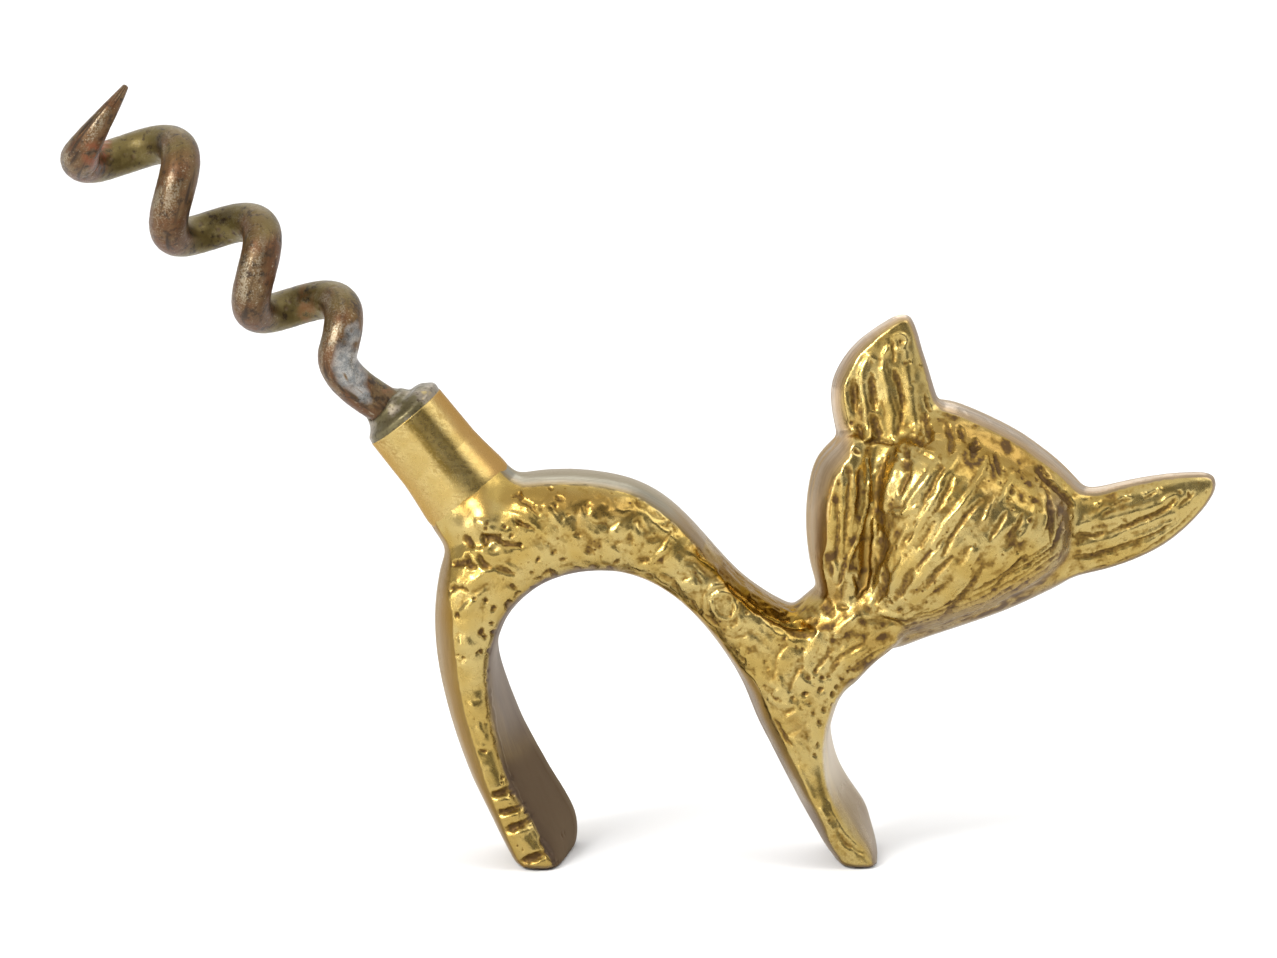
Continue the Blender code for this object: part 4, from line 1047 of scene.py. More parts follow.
    # Outer ear: beads at its root
    (37, 17, 0, 384, 344), (37, 17, 0, 380, 337), (32, 17, 0, 386, 330), (28, 17, 0, 392, 337),
    (37, 17, 0, 378, 318), (28, 17, 0, 389, 318), (28, 17, 0, 397, 328),
    (37, -30, 95, 377, 359, 385, 353, 392, 345, 398, 338),
    (37, -28, 95, 374, 347, 375, 334, 374, 323), (32, -28, 95, 387, 324, 383, 310, 378, 300),
    (28, -23, 95, 364, 373, 371, 364, 381, 357),
    # Throat: fine lines along the lower edge of the head
    (21, 13, 0, 243, 219, 281, 226, 318, 241, 351, 264, 384, 287),
    (21, -15, 60, 243, 223, 280, 231, 317, 246, 351, 268, 384, 291),
    (21, 13, 0, 243, 222, 280, 233, 317, 249, 350, 271, 384, 293),
    (21, -15, 60, 243, 226, 280, 237, 316, 253, 350, 275, 384, 296),
    (21, 13, 0, 243, 225, 280, 239, 316, 255, 350, 278, 384, 299),
    (21, -15, 60, 243, 229, 279, 242, 316, 259, 350, 281, 384, 302),
    (21, 13, 0, 243, 228, 279, 244, 316, 261, 349, 284, 384, 304),
    (21, -15, 60, 242, 232, 279, 247, 316, 265, 349, 287, 383, 307),
    (21, 13, 0, 242, 231, 279, 248, 315, 267, 349, 289, 383, 309),
    (21, -15, 60, 242, 235, 279, 252, 315, 270, 349, 292, 383, 312),
    # Upper ear: ridges and valleys
    (50, 23, 0, 187, 459, 187, 443, 190, 428, 192, 413),
    (56, 25, 0, 209, 476, 203, 461, 204, 445, 207, 428, 208, 410, 211, 400),
    (32, 16, 0, 211, 478, 214, 472), (37, 22, 0, 228, 486, 223, 476, 223, 463),
    (71, 25, 0, 223, 462, 226, 445, 229, 429, 231, 413, 232, 401),
    (71, 23, 0, 243, 480, 245, 463, 248, 445, 250, 426, 252, 411),
    (45, -30, 80, 212, 459, 213, 443, 215, 428), (45, -30, 85, 214, 421, 217, 410, 220, 401),
    (37, -30, 85, 233, 462, 237, 449, 240, 436, 241, 427), (30, -28, 90, 240, 425, 240, 414),
    (39, -29, 85, 195, 454, 196, 440, 196, 426), (32, -28, 85, 199, 412, 203, 403),
    (30, -26, 70, 262, 440, 266, 426), (37, -28, 85, 261, 422, 264, 409, 264, 402),
    (25, -24, 70, 231, 491, 232, 480, 232, 471), (27, -24, 70, 181, 439, 182, 425, 186, 413),
    (32, 18, 0, 232, 495, 240, 496, 245, 491, 242, 483, 234, 481),
    (22, -24, 80, 238, 491, 240, 488), (18, -20, 80, 247, 471, 248, 469),
    (22, -22, 80, 257, 468, 258, 465), (30, -26, 75, 206, 398, 220, 398, 230, 397),
    (25, -26, 80, 193, 394, 201, 389), (28, 17, 0, 187, 409, 191, 401, 194, 394),
    # Outer ear: ridges along it
    (61, 22, 0, 404, 319, 420, 323, 434, 325, 452, 329, 471, 334, 484, 339),
    (47, 19, 0, 412, 326, 422, 329, 431, 334), (47, 18, 0, 404, 298, 420, 302, 436, 307, 452, 314),
    (47, 17, 0, 452, 314, 466, 319, 480, 325, 493, 328),
    (32, 15, 0, 443, 300, 462, 306, 481, 315, 492, 322),
    (30, 15, 0, 416, 279, 439, 285, 462, 295, 485, 309, 504, 324),
    (33, -26, 75, 401, 310, 417, 309, 430, 312),
    (30, -25, 75, 434, 312, 448, 317, 462, 323, 476, 328, 488, 335, 495, 341),
    (37, -25, 70, 401, 288, 417, 290, 432, 293, 447, 299, 462, 304),
    (27, -22, 65, 462, 303, 477, 310, 490, 318),
    (22, -20, 60, 412, 273, 435, 278, 461, 288, 481, 301, 501, 318, 516, 333),
    (27, -22, 60, 435, 336, 445, 340, 454, 342), (24, -20, 55, 466, 344, 477, 349),
    (22, -22, 80, 447, 324, 448, 323), (20, -20, 80, 499, 349, 501, 347),
    (18, -20, 80, 506, 348, 508, 347), (18, -20, 80, 523, 348, 524, 347),
    (37, 19, 0, 423, 341, 423, 336), (34, 16, 0, 451, 346, 451, 342),
    (37, 16, 0, 464, 349, 469, 345), (34, 16, 0, 479, 353, 481, 349),
    (37, 17, 0, 485, 341, 495, 346), (22, -20, 70, 497, 335, 505, 341, 512, 348),
    # Crown: short dark nicks
    (12, -20, 85, 279, 429, 282, 425), (13, -20, 85, 294, 425, 300, 420),
    (13, -20, 85, 316, 418, 323, 412), (12, -20, 85, 335, 409, 345, 400),
    (12, -18, 80, 368, 374, 377, 364),
)


# Ferrule, braze and solder


def rippled(mesh, base, tilt, amount):
    """Puts the turned wall slightly out of round, with faint lines along it."""
    places, normals = coordinates(mesh), vertex_normals(mesh)
    rise, across = about_axis(places, base, tilt)
    radius = np.linalg.norm(across, axis=1)
    turn = np.arctan2(across[:, 1], across @ np.array(side_of(tilt)))
    unrolled = np.stack([np.cos(turn) * 4 * MM, np.sin(turn) * 4 * MM, rise / 14.0], axis=1)
    wave = grain(unrolled, 1.9 * MM, 3.0) + 0.35 * grain(unrolled, 0.55 * MM, 13.0)
    wave += 0.5 * grain(places, 2.5 * MM, 23.0)
    wall = mm_step(3.7, 3.95, radius)
    places += normals * (wave * wall * amount - wall * amount * 1.6)[:, None]
    set_coordinates(mesh, places)


def add_sleeve_reflections(mesh, base, tilt):
    """Keeps where painted reflections lie on the wall: a dark olive stripe, a faint second one and
    the flanks.
    """
    places = coordinates(mesh)
    rise, across = about_axis(places, base, tilt)
    offset = across @ np.array(side_of(tilt)) / (4.1 * MM) + grain(places, 2.2 * MM, 83.0) * 0.05
    # A dark painted reflection along the sleeve, and a faint second line
    stripe = smooth_step(-0.05, 0.05, offset) * smooth_step(0.24, 0.12, offset)
    second = 0.6 * np.exp(-(((offset - 0.46) / 0.05) ** 2))
    stripe = np.maximum(stripe, second) * (across[:, 1] < 0)
    add_number(mesh, "stripe", stripe * mm_step(1.4, 4.6, rise))
    flank = np.maximum(smooth_step(0.64, 0.92, offset), 0.55 * smooth_step(-0.42, -0.95, offset))
    add_number(mesh, "flank", flank)


def stepped(profile, step):
    """The profile with extra places along its long runs."""
    rows = [profile[0]]
    for (r0, h0), (r1, h1) in zip(profile, profile[1:]):
        count = max(1, round(math.hypot(r1 - r0, h1 - h0) / step))
        rows += [
            (r0 + (r1 - r0) * k / count, h0 + (h1 - h0) * k / count) for k in range(1, count + 1)
        ]
    return rows


def build_ferrule():
    """The ferrule with its spigot, its bore and the rounded edge of its mouth."""
    s = bpy.context.scene.cat_ferrule
    mouth, low, top, spigot = s.mouth_radius, s.seat_gap, s.reach, s.spigot_radius
    profile = [(AXIS_GAP, -s.spigot_length), (spigot, -s.spigot_length), (spigot, low)]
    profile += [(s.base_radius, low), (mouth, top - s.edge)]
    for k in range(1, EDGE_STEPS + 1):
        a = math.radians(90 * k / EDGE_STEPS)
        profile.append((mouth - s.edge * (1 - math.cos(a)), top - s.edge * (1 - math.sin(a))))
    floor = top - s.bore_depth
    profile += [(s.bore_radius, top), (s.bore_radius, floor), (AXIS_GAP, floor)]
    base = MOUTH - direction(s.tilt) * s.reach
    mesh = turned_mesh(stepped(profile, WALL_STEP * MM), base, s.tilt, FERRULE_SIDES)
    mesh.shade_smooth()
    rippled(mesh, base, s.tilt, s.waviness)
    add_sleeve_reflections(mesh, base, s.tilt)
    piece = new_piece("turned_ferrule", mesh, turned_brass())
    mesh.set_sharp_from_angle(angle=math.radians(50))
    return finished(piece, "worm_ferrule")


# Steps in the rounding of the mouth, spacing of rings along the wall in mm, and sides all round
EDGE_STEPS, WALL_STEP, FERRULE_SIDES = 6, 0.16, 168
# Where a turned face stops short of its axis, in metres
AXIS_GAP = 1e-5


def build_braze():
    """The lip of brazing metal that fills the joint between the ferrule and the fillet."""
    s = bpy.context.scene.cat_ferrule
    inner = s.base_radius + 0.02 * MM
    taper = (s.mouth_radius - s.base_radius) / (s.reach - s.edge)
    profile = [(inner, s.seat_gap), (inner + 0.08 * MM, s.seat_gap), (inner + 0.10 * MM, 0.4 * MM)]
    for height, thickness in BRAZE_ROWS:
        profile.append((s.base_radius + (taper * height + thickness) * MM, height * MM))
    base = MOUTH - direction(s.tilt) * s.reach
    mesh = turned_mesh(profile, base, s.tilt, BRAZE_SIDES, closed=True)
    add_sleeve_reflections(mesh, base, s.tilt)
    mesh.shade_smooth()
    piece = new_piece("braze_fillet", mesh, turned_brass())
    return finished(piece, "braze_ring")


# Sides of the braze all round
BRAZE_SIDES = 120


# The lip of the braze: height above the seat and how thick it is there, in mm
BRAZE_ROWS = (
    (0.60, 0.28), (1.00, 0.37), (1.50, 0.36), (2.00, 0.32), (2.40, 0.275), (2.90, 0.215),
    (3.50, 0.145), (4.20, 0.075), (4.90, 0.02), (5.50, -0.03), (5.90, -0.08),
)


def sealed(mesh, other, reach, sunk):
    """Draws what lies close to the other piece onto its surface, from further off near the top."""
    places = coordinates(mesh)
    rise, _ = about_axis(places, MOUTH, bpy.context.scene.cat_ferrule.tilt)
    reaches = reach * (1.0 + 2.5 * mm_step(1.6, 3.2, rise))
    tree = tree_of([vertex.co for vertex in other.vertices])
    for i, p in enumerate(places):
        found, index, apart = tree.find(p)
        if apart < reaches[i]:
            part = min(1.0, 1.6 * (1.0 - apart / reaches[i]))
            target = np.array(found - other.vertices[index].normal * sunk)
            places[i] += (target - places[i]) * part
    set_coordinates(mesh, places)


def build_solder():
    """The solder mound, pressed onto the mouth and drawn up the wire."""
    s, ferrule = bpy.context.scene.cat_solder, bpy.context.scene.cat_ferrule
    axis, side = np.array(direction(ferrule.tilt)), np.array(side_of(ferrule.tilt))
    mesh = remeshed(cad_copy("solder_mound"), s.fineness, 8)
    places, normals = coordinates(mesh), vertex_normals(mesh)

    # Ripples and small pits, on what stands out of the ferrule
    ripple = grain(places, 1.3 * MM, 4.0) + 0.5 * grain(places, 0.55 * MM, 14.0)
    pits, _ = cells(places, 0.9 * MM, 4.0)
    chance = smooth_step(0.0, 0.3, grain(places, 2 * MM, 50.0))
    ripple -= smooth_step(0.3, 0.1, pits) * chance * 1.5
    outside = mm_step(0.05, 0.5, (places - np.array(MOUTH)) @ axis)
    places += normals * (ripple * outside * s.unevenness)[:, None]

    # The foot sits on the mouth and spreads close to its edge
    rise = (places - np.array(MOUTH)) @ axis
    seated = mm_step(0.45, 0.10, rise) * (rise > -0.2 * MM)
    places -= axis * (seated * s.seating)[:, None]
    across = places - np.array(MOUTH) - rise[:, None] * axis
    radius = np.linalg.norm(across, axis=1)
    foot = radius[(rise > -0.1 * MM) & (rise < 0.3 * MM)].max()
    skirt = ferrule.mouth_radius - s.rim_gap - 0.3 * np.maximum(rise, 0.0)
    spread = smooth_step(foot - 0.7 * MM, foot - 0.25 * MM, radius) * mm_step(0.9, 0.35, rise)
    spread *= rise > -0.3 * MM
    outward = across / np.maximum(radius, 1e-6)[:, None]
    places += outward * (spread * (skirt - radius))[:, None]

    # On the upper right it swells low down and sinks beside the wire
    leaning = across @ side / np.maximum(radius, 1e-6)
    swell = smooth_step(0.2, 0.9, leaning) * mm_step(0.1, 0.7, rise) * mm_step(2.2, 1.2, rise)
    places += normals * (swell * s.shoulder)[:, None]
    hollow = smooth_step(0.0, 0.7, leaning) * mm_step(1.0, 2.2, rise)
    places -= axis * (hollow * s.hollow)[:, None]
    set_coordinates(mesh, places)
    sealed(mesh, bpy.data.objects["steel_worm_wire"].data, 0.22 * MM, 0.02 * MM)
    mesh.shade_smooth()
    piece = new_piece("solder", mesh, solder_metal())
    return finished(piece, "solder_mound")


# Nodes of shapes and materials


class Nodes:
    """Short ways to add and join the nodes of a material or of a shape."""

    def __init__(self, tree):
        self.tree = tree

    def add(self, kind, settings=(), **inputs):
        """A node with these settings and inputs; an underscore in a name stands for a space."""
        node = self.tree.nodes.new(kind)
        for name, value in dict(settings).items():
            setattr(node, name, value)
        for name, value in inputs.items():
            self.put(node.inputs[name.replace("_", " ")], value)
        return node

    def put(self, target, value):
        """Joins a socket to the target, or sets the target to a value."""
        if isinstance(value, bpy.types.NodeSocket):
            self.tree.links.new(value, target)
        else:
            target.default_value = value

    def maths(self, operation, a, b, clamp=False):
        node = self.add("ShaderNodeMath", {"operation": operation, "use_clamp": clamp})
        self.put(node.inputs[0], a)
        self.put(node.inputs[1], b)
        return node.outputs[0]

    def plus(self, a, b, clamp=False):
        return self.maths("ADD", a, b, clamp)

    def minus(self, a, b):
        return self.maths("SUBTRACT", a, b)

    def times(self, a, b):
        return self.maths("MULTIPLY", a, b)

    def over(self, a, b, clamp=False):
        return self.maths("DIVIDE", a, b, clamp)

    def larger(self, a, b):
        return self.maths("MAXIMUM", a, b)

    def vector(self, operation, a, b=None, scale=None):
        node = self.add("ShaderNodeVectorMath", {"operation": operation})
        self.put(node.inputs[0], a)
        if b is not None:
            self.put(node.inputs[1], b)
        if scale is not None:
            self.put(node.inputs["Scale"], scale)
        return node.outputs["Value" if operation == "DOT_PRODUCT" else "Vector"]

    def moved(self, place, way, distance):
        """The place moved this far along the way."""
        return self.vector("ADD", place, self.vector("SCALE", way, scale=distance))

    def spread(self, value, low, high, start=0.0, end=1.0):
        """Maps low..high softly to start..end."""
        node = self.add("ShaderNodeMapRange", {"interpolation_type": "SMOOTHSTEP"}, Value=value)
        ends = {"From Min": low, "From Max": high, "To Min": start, "To Max": end}
        for name, number in ends.items():
            self.put(node.inputs[name], number)
        return node.outputs["Result"]

    def mixed(self, part, a, b):
        """The colour a with this part of b in it."""
        node = self.add("ShaderNodeMix", {"data_type": "RGBA"})
        for index, value in ((0, part), (6, a), (7, b)):
            self.put(node.inputs[index], value)
        return node.outputs[2]

    def noise(self, place, size, detail=2.0, roughness=0.5):
        """Smooth noise with features of about this size."""
        made = self.add(
            "ShaderNodeTexNoise", Vector=place, Scale=1.0 / size, Detail=detail, Roughness=roughness
        )
        return made.outputs["Fac"]

    def chosen(self, test, no, yes):
        """One of two vectors."""
        node = self.add("GeometryNodeSwitch", {"input_type": "VECTOR"})
        self.put(node.inputs[0], test)
        self.put(node.inputs[1], no)
        self.put(node.inputs[2], yes)
        return node.outputs[0]


# Worm


def worm_inputs():
    """The named numbers and ways from which the worm's shape is made."""
    s = bpy.context.scene.cat_worm
    ferrule_tilt = bpy.context.scene.cat_ferrule.tilt
    way, upper = direction(s.tilt), side_of(s.tilt)
    start = MOUTH + upper * s.offset
    foot = start + way * s.lead_in - FAR_WAY * s.coil_radius
    foot_way = (way * s.pitch / (2 * math.pi) + upper * s.coil_radius).normalized()
    bent_way = direction(ferrule_tilt + s.shank_bend)
    pull = (foot - MOUTH).length * s.pull_share / 3
    vectors = {
        "Start": start, "Way": way, "Upper": upper, "Far": FAR_WAY,
        "Shank Foot": MOUTH - direction(ferrule_tilt) * s.shank_depth, "Shank Top": MOUTH,
        "Lead Out": MOUTH + bent_way * pull, "Lead In": foot - foot_way * pull, "Coil Foot": foot,
    }
    numbers = {
        "Lead Length": s.lead_in, "Coil Radius": s.coil_radius, "Coil Growth": s.coil_growth,
        "Pitch": s.pitch, "Sweep": s.sweep, "Point Turn": s.point_turn,
        "Point Pitch": s.point_pitch_share, "Flare": s.point_flare, "Flare Turn": s.flare_turn,
        "Wire Radius": s.wire_radius, "Point Radius": s.point_radius,
    }
    counts = {"Rings": s.rings, "Sides": s.sides}
    return vectors, numbers, counts


def worm_nodes(material):
    """A shape tree: shank, bent lead-in and coil in one line of places, which the wire follows."""
    vectors, numbers, counts = worm_inputs()
    tree = bpy.data.node_groups.new("steel_worm", "GeometryNodeTree")
    kinds = {"NodeSocketVector": vectors, "NodeSocketFloat": numbers, "NodeSocketInt": counts}
    for kind, names in kinds.items():
        for name in names:
            tree.interface.new_socket(name, in_out="INPUT", socket_type=kind)
    tree.interface.new_socket("Geometry", in_out="OUTPUT", socket_type="NodeSocketGeometry")
    n = Nodes(tree)
    given = n.add("NodeGroupInput").outputs
    line = n.add("GeometryNodeMeshLine", {"mode": "OFFSET"}, Count=given["Rings"]).outputs[0]
    index = n.add("GeometryNodeInputIndex").outputs[0]
    part = n.over(index, n.minus(given["Rings"], 1.0))

    # The first part of the line is the shank and the next the bent lead-in
    on_shank = n.over(part, SHANK_END, clamp=True)
    shank_way = n.vector("SUBTRACT", given["Shank Top"], given["Shank Foot"])
    shank = n.moved(given["Shank Foot"], shank_way, on_shank)
    bend = n.add("GeometryNodeCurvePrimitiveBezierSegment", {"mode": "POSITION"}, Resolution=64)
    sources = {
        "Start": "Shank Top", "Start Handle": "Lead Out", "End Handle": "Lead In",
        "End": "Coil Foot",
    }
    for name, source in sources.items():
        n.put(bend.inputs[name], given[source])
    on_lead = n.over(n.minus(part, SHANK_END), LEAD_END - SHANK_END, clamp=True)
    lead = n.add(
        "GeometryNodeSampleCurve", {"mode": "FACTOR"}, Curves=bend.outputs[0], Factor=on_lead
    )

    # The rest is the coil, which winds closer and flares out towards the point
    on_coil = n.over(n.minus(part, LEAD_END), 1.0 - LEAD_END, clamp=True)
    swept = n.times(on_coil, given["Sweep"])
    taper_at = n.minus(given["Sweep"], given["Point Turn"])
    even = n.maths("MINIMUM", swept, taper_at)
    close = n.larger(n.minus(swept, taper_at), 0.0)
    turned = n.plus(even, n.times(close, given["Point Pitch"]))
    along = n.plus(given["Lead Length"], n.times(n.over(turned, 2 * math.pi), given["Pitch"]))
    flare_from = n.minus(given["Sweep"], given["Flare Turn"])
    flare = n.over(n.larger(n.minus(swept, flare_from), 0.0), given["Flare Turn"])
    radius = n.plus(given["Coil Radius"], n.times(given["Coil Growth"], on_coil))
    radius = n.plus(radius, n.times(given["Flare"], n.maths("POWER", flare, FLARE_POWER)))
    turn = n.minus(swept, math.pi / 2)
    coil = n.moved(given["Start"], given["Way"], along)
    coil = n.moved(coil, given["Upper"], n.times(n.maths("COSINE", turn, 0.0), radius))
    coil = n.moved(coil, given["Far"], n.times(n.maths("SINE", turn, 0.0), radius))
    place = n.chosen(n.maths("GREATER_THAN", part, SHANK_END), shank, lead.outputs["Position"])
    place = n.chosen(n.maths("GREATER_THAN", part, LEAD_END), place, coil)

    # The wire keeps its radius as far as the taper
    taper = n.maths("POWER", n.over(close, given["Point Turn"], clamp=True), TAPER_POWER)
    thin = n.minus(given["Wire Radius"], given["Point Radius"])
    wire = n.minus(given["Wire Radius"], n.times(taper, thin))
    placed = n.add("GeometryNodeSetPosition", Geometry=line, Position=place).outputs[0]
    store = {"data_type": "FLOAT", "domain": "POINT"}
    kept = n.add(
        "GeometryNodeStoreNamedAttribute", store, Geometry=placed, Name="wire", Value=wire
    )
    route = n.add("GeometryNodeMeshToCurve", Mesh=kept.outputs[0]).outputs[0]
    named = n.add("GeometryNodeInputNamedAttribute", {"data_type": "FLOAT"}, Name="wire")
    ring = n.add("GeometryNodeCurvePrimitiveCircle", Resolution=given["Sides"], Radius=1.0)
    skin = n.add(
        "GeometryNodeCurveToMesh", Curve=route, Profile_Curve=ring.outputs[0],
        Scale=named.outputs[0], Fill_Caps=True,
    )
    real = n.add("GeometryNodeRealizeInstances", Geometry=skin.outputs[0]).outputs[0]
    dressed = n.add("GeometryNodeSetMaterial", Geometry=real, Material=material).outputs[0]
    tree.links.new(dressed, n.add("NodeGroupOutput").inputs[0])
    return tree, {**vectors, **numbers, **counts}


# Where the shank and the lead-in end, as shares of all the rings
SHANK_END, LEAD_END = 0.09, 0.22
# How late the flare and the taper grow
FLARE_POWER, TAPER_POWER = 1.15, 1.35


# Where the wire was scraped bare: half width, rise, share, then x and z along it, in mm
BARE_ROWS = (
    (0.8, 0.0, 0.85, -26.7, 50.6, -27.0, 49.2),
    (1.5, 0.0, 1.0, -27.4, 48.6, -27.2, 46.6, -26.4, 45.0),
    (0.8, 0.0, 0.9, -26.6, 45.4, -25.4, 43.6),
)

# Red copper stains on the wire: half width, rise, share, then x and z along each, in mm
COPPER_ROWS = (
    (1.3, 0.0, 0.90, -50.4, 67.2, -50.1, 65.4), (0.7, 0.0, 0.55, -23.6, 44.6),
    (0.9, 0.0, 0.50, -31.5, 53.5, -31.2, 50.5),
)


def build_worm():
    """The worm, wound by its nodes, then pitted and marked."""
    material = worn_steel()
    tree, values = worm_nodes(material)
    piece = new_piece("steel_worm_wire", bpy.data.meshes.new("steel_worm_wire"))
    shape = piece.modifiers.new("shape", "NODES")
    shape.node_group = tree
    for item in tree.interface.items_tree:
        if item.in_out == "INPUT":
            value = values[item.name]
            shape[item.identifier] = tuple(value) if isinstance(value, Vector) else value
    mesh = evaluated_mesh(piece)
    piece.modifiers.clear()
    piece.data = mesh
    work = bmesh.new()
    work.from_mesh(mesh)
    bmesh.ops.recalc_face_normals(work, faces=work.faces)
    work.to_mesh(mesh)
    work.free()
    places, normals = coordinates(mesh), vertex_normals(mesh)
    thick = pit_wire(mesh, places, normals)
    add_worm_film(mesh, places, normals, thick)
    mesh.shade_smooth()
    mesh.materials.clear()
    mesh.materials.append(material)
    return finished(piece, "steel_worm")


def pit_wire(mesh, places, normals):
    """Roughens the wire with drawn lines, scale and pits, and returns where it is thick."""
    s = bpy.context.scene.cat_worm
    number = np.arange(len(places))
    along = number // s.sides * RING_STEP * MM
    around = number % s.sides * 2 * math.pi / s.sides
    turned = (np.cos(around) * s.wire_radius, np.sin(around) * s.wire_radius)
    ring = np.stack([along / 5.0, *turned], axis=1)
    streaks = grain(ring, 0.5 * MM, 6.0) + 0.6 * grain(ring, 0.25 * MM, 16.0)
    first, _ = cells(places, 0.9 * MM, 11.0)
    patches = smooth_step(-0.2, 0.3, grain(places, 3.0 * MM, 31.0))
    pits = smooth_step(0.34, 0.12, first) * patches
    scale = grain(places, 0.45 * MM, 2.0) * 0.5 + grain(places, 1.4 * MM, 8.0) * 0.4
    scale = scale + streaks * 0.35
    outside = mm_step(0.0, 1.0, (places - np.array(MOUTH)) @ np.array(direction(s.tilt)))
    thick = 1.0 - 0.7 * mm_step(8, 0.0, np.linalg.norm(places - places[-1], axis=1))
    depth = (scale * 0.6 - 0.5 - pits * 1.2) * outside * thick * s.pitting
    places += normals * depth[:, None]
    set_coordinates(mesh, places)
    add_number(mesh, "pits", pits)
    add_number(mesh, "streaks", streaks * 0.5 + 0.5)
    return thick


# About how far apart the rings stand along the wire, in mm
RING_STEP = 0.16


def add_worm_film(mesh, places, normals, thick):
    """Keeps where the wire is scraped bare, olive, stained with copper, and rubbed, with painted
    highlights where the lights fall.
    """
    wobble = wander(places, 1.2 * MM, 60.0, 63.0) * 0.35 * MM
    near = normals[:, 1] < 0.2
    add_number(mesh, "bare", stroke_field(places, BARE_ROWS, wobble)[1] * near)
    uneven = grain(places, 1.5 * MM, 44.0) * 0.3
    upward = smooth_step(0.0, 0.6, normals[:, 2] * 0.8 + normals[:, 1] * 0.3 + uneven)
    upward = upward * (thick * 2.0 - 1.0).clip(0, 1)
    inner = mm_step(-1.2, 0.8, places[:, 1] - MIDPLANE)
    inner = inner * smooth_step(0.35, -0.15, normals[:, 1] + uneven)
    add_number(mesh, "far", np.maximum(inner, upward * 0.8))
    add_number(mesh, "copper", stroke_field(places, COPPER_ROWS, wobble)[1] * near)
    # Painted highlight, partly real wear: faces towards the camera, the left and up, where the
    # lights fall, get flecks of clean steel
    rubbed = -0.85 * normals[:, 1] - 0.45 * normals[:, 0] + 0.2 * normals[:, 2]
    add_number(mesh, "rubbed", smooth_step(0.45, 0.95, rubbed))


# Materials


def paint(name):
    """A finish colour as a shader value."""
    return (*getattr(bpy.context.scene.cat_finish, name), 1.0)


def start_material(name):
    """A new material, its nodes, its shader and the place on the piece."""
    material = bpy.data.materials.new(name)
    material.use_nodes = True
    n = Nodes(material.node_tree)
    shader = material.node_tree.nodes["Principled BSDF"]
    place = n.add("ShaderNodeTexCoord").outputs["Object"]
    return material, n, shader, place


def kept_number(n, name):
    """A number that is kept at the mesh's vertices."""
    return n.add("ShaderNodeAttribute", {"attribute_name": name}).outputs["Fac"]


def brushed(n, place, size):
    """Fine lines that follow the casting's outline and vary across its depth."""
    scaling = n.add("ShaderNodeMapping", Vector=place)
    scaling.inputs["Scale"].default_value = (0.07, 1.0, 0.07)
    return n.noise(scaling.outputs[0], size, 3.0, 0.6)


def bumped(n, height, strength, depth, under=None):
    """Fine relief from a height, on top of other relief where there is some."""
    bump = n.add("ShaderNodeBump", Strength=strength, Distance=depth, Height=height)
    if under is not None:
        n.put(bump.inputs["Normal"], under)
    return bump.outputs["Normal"]


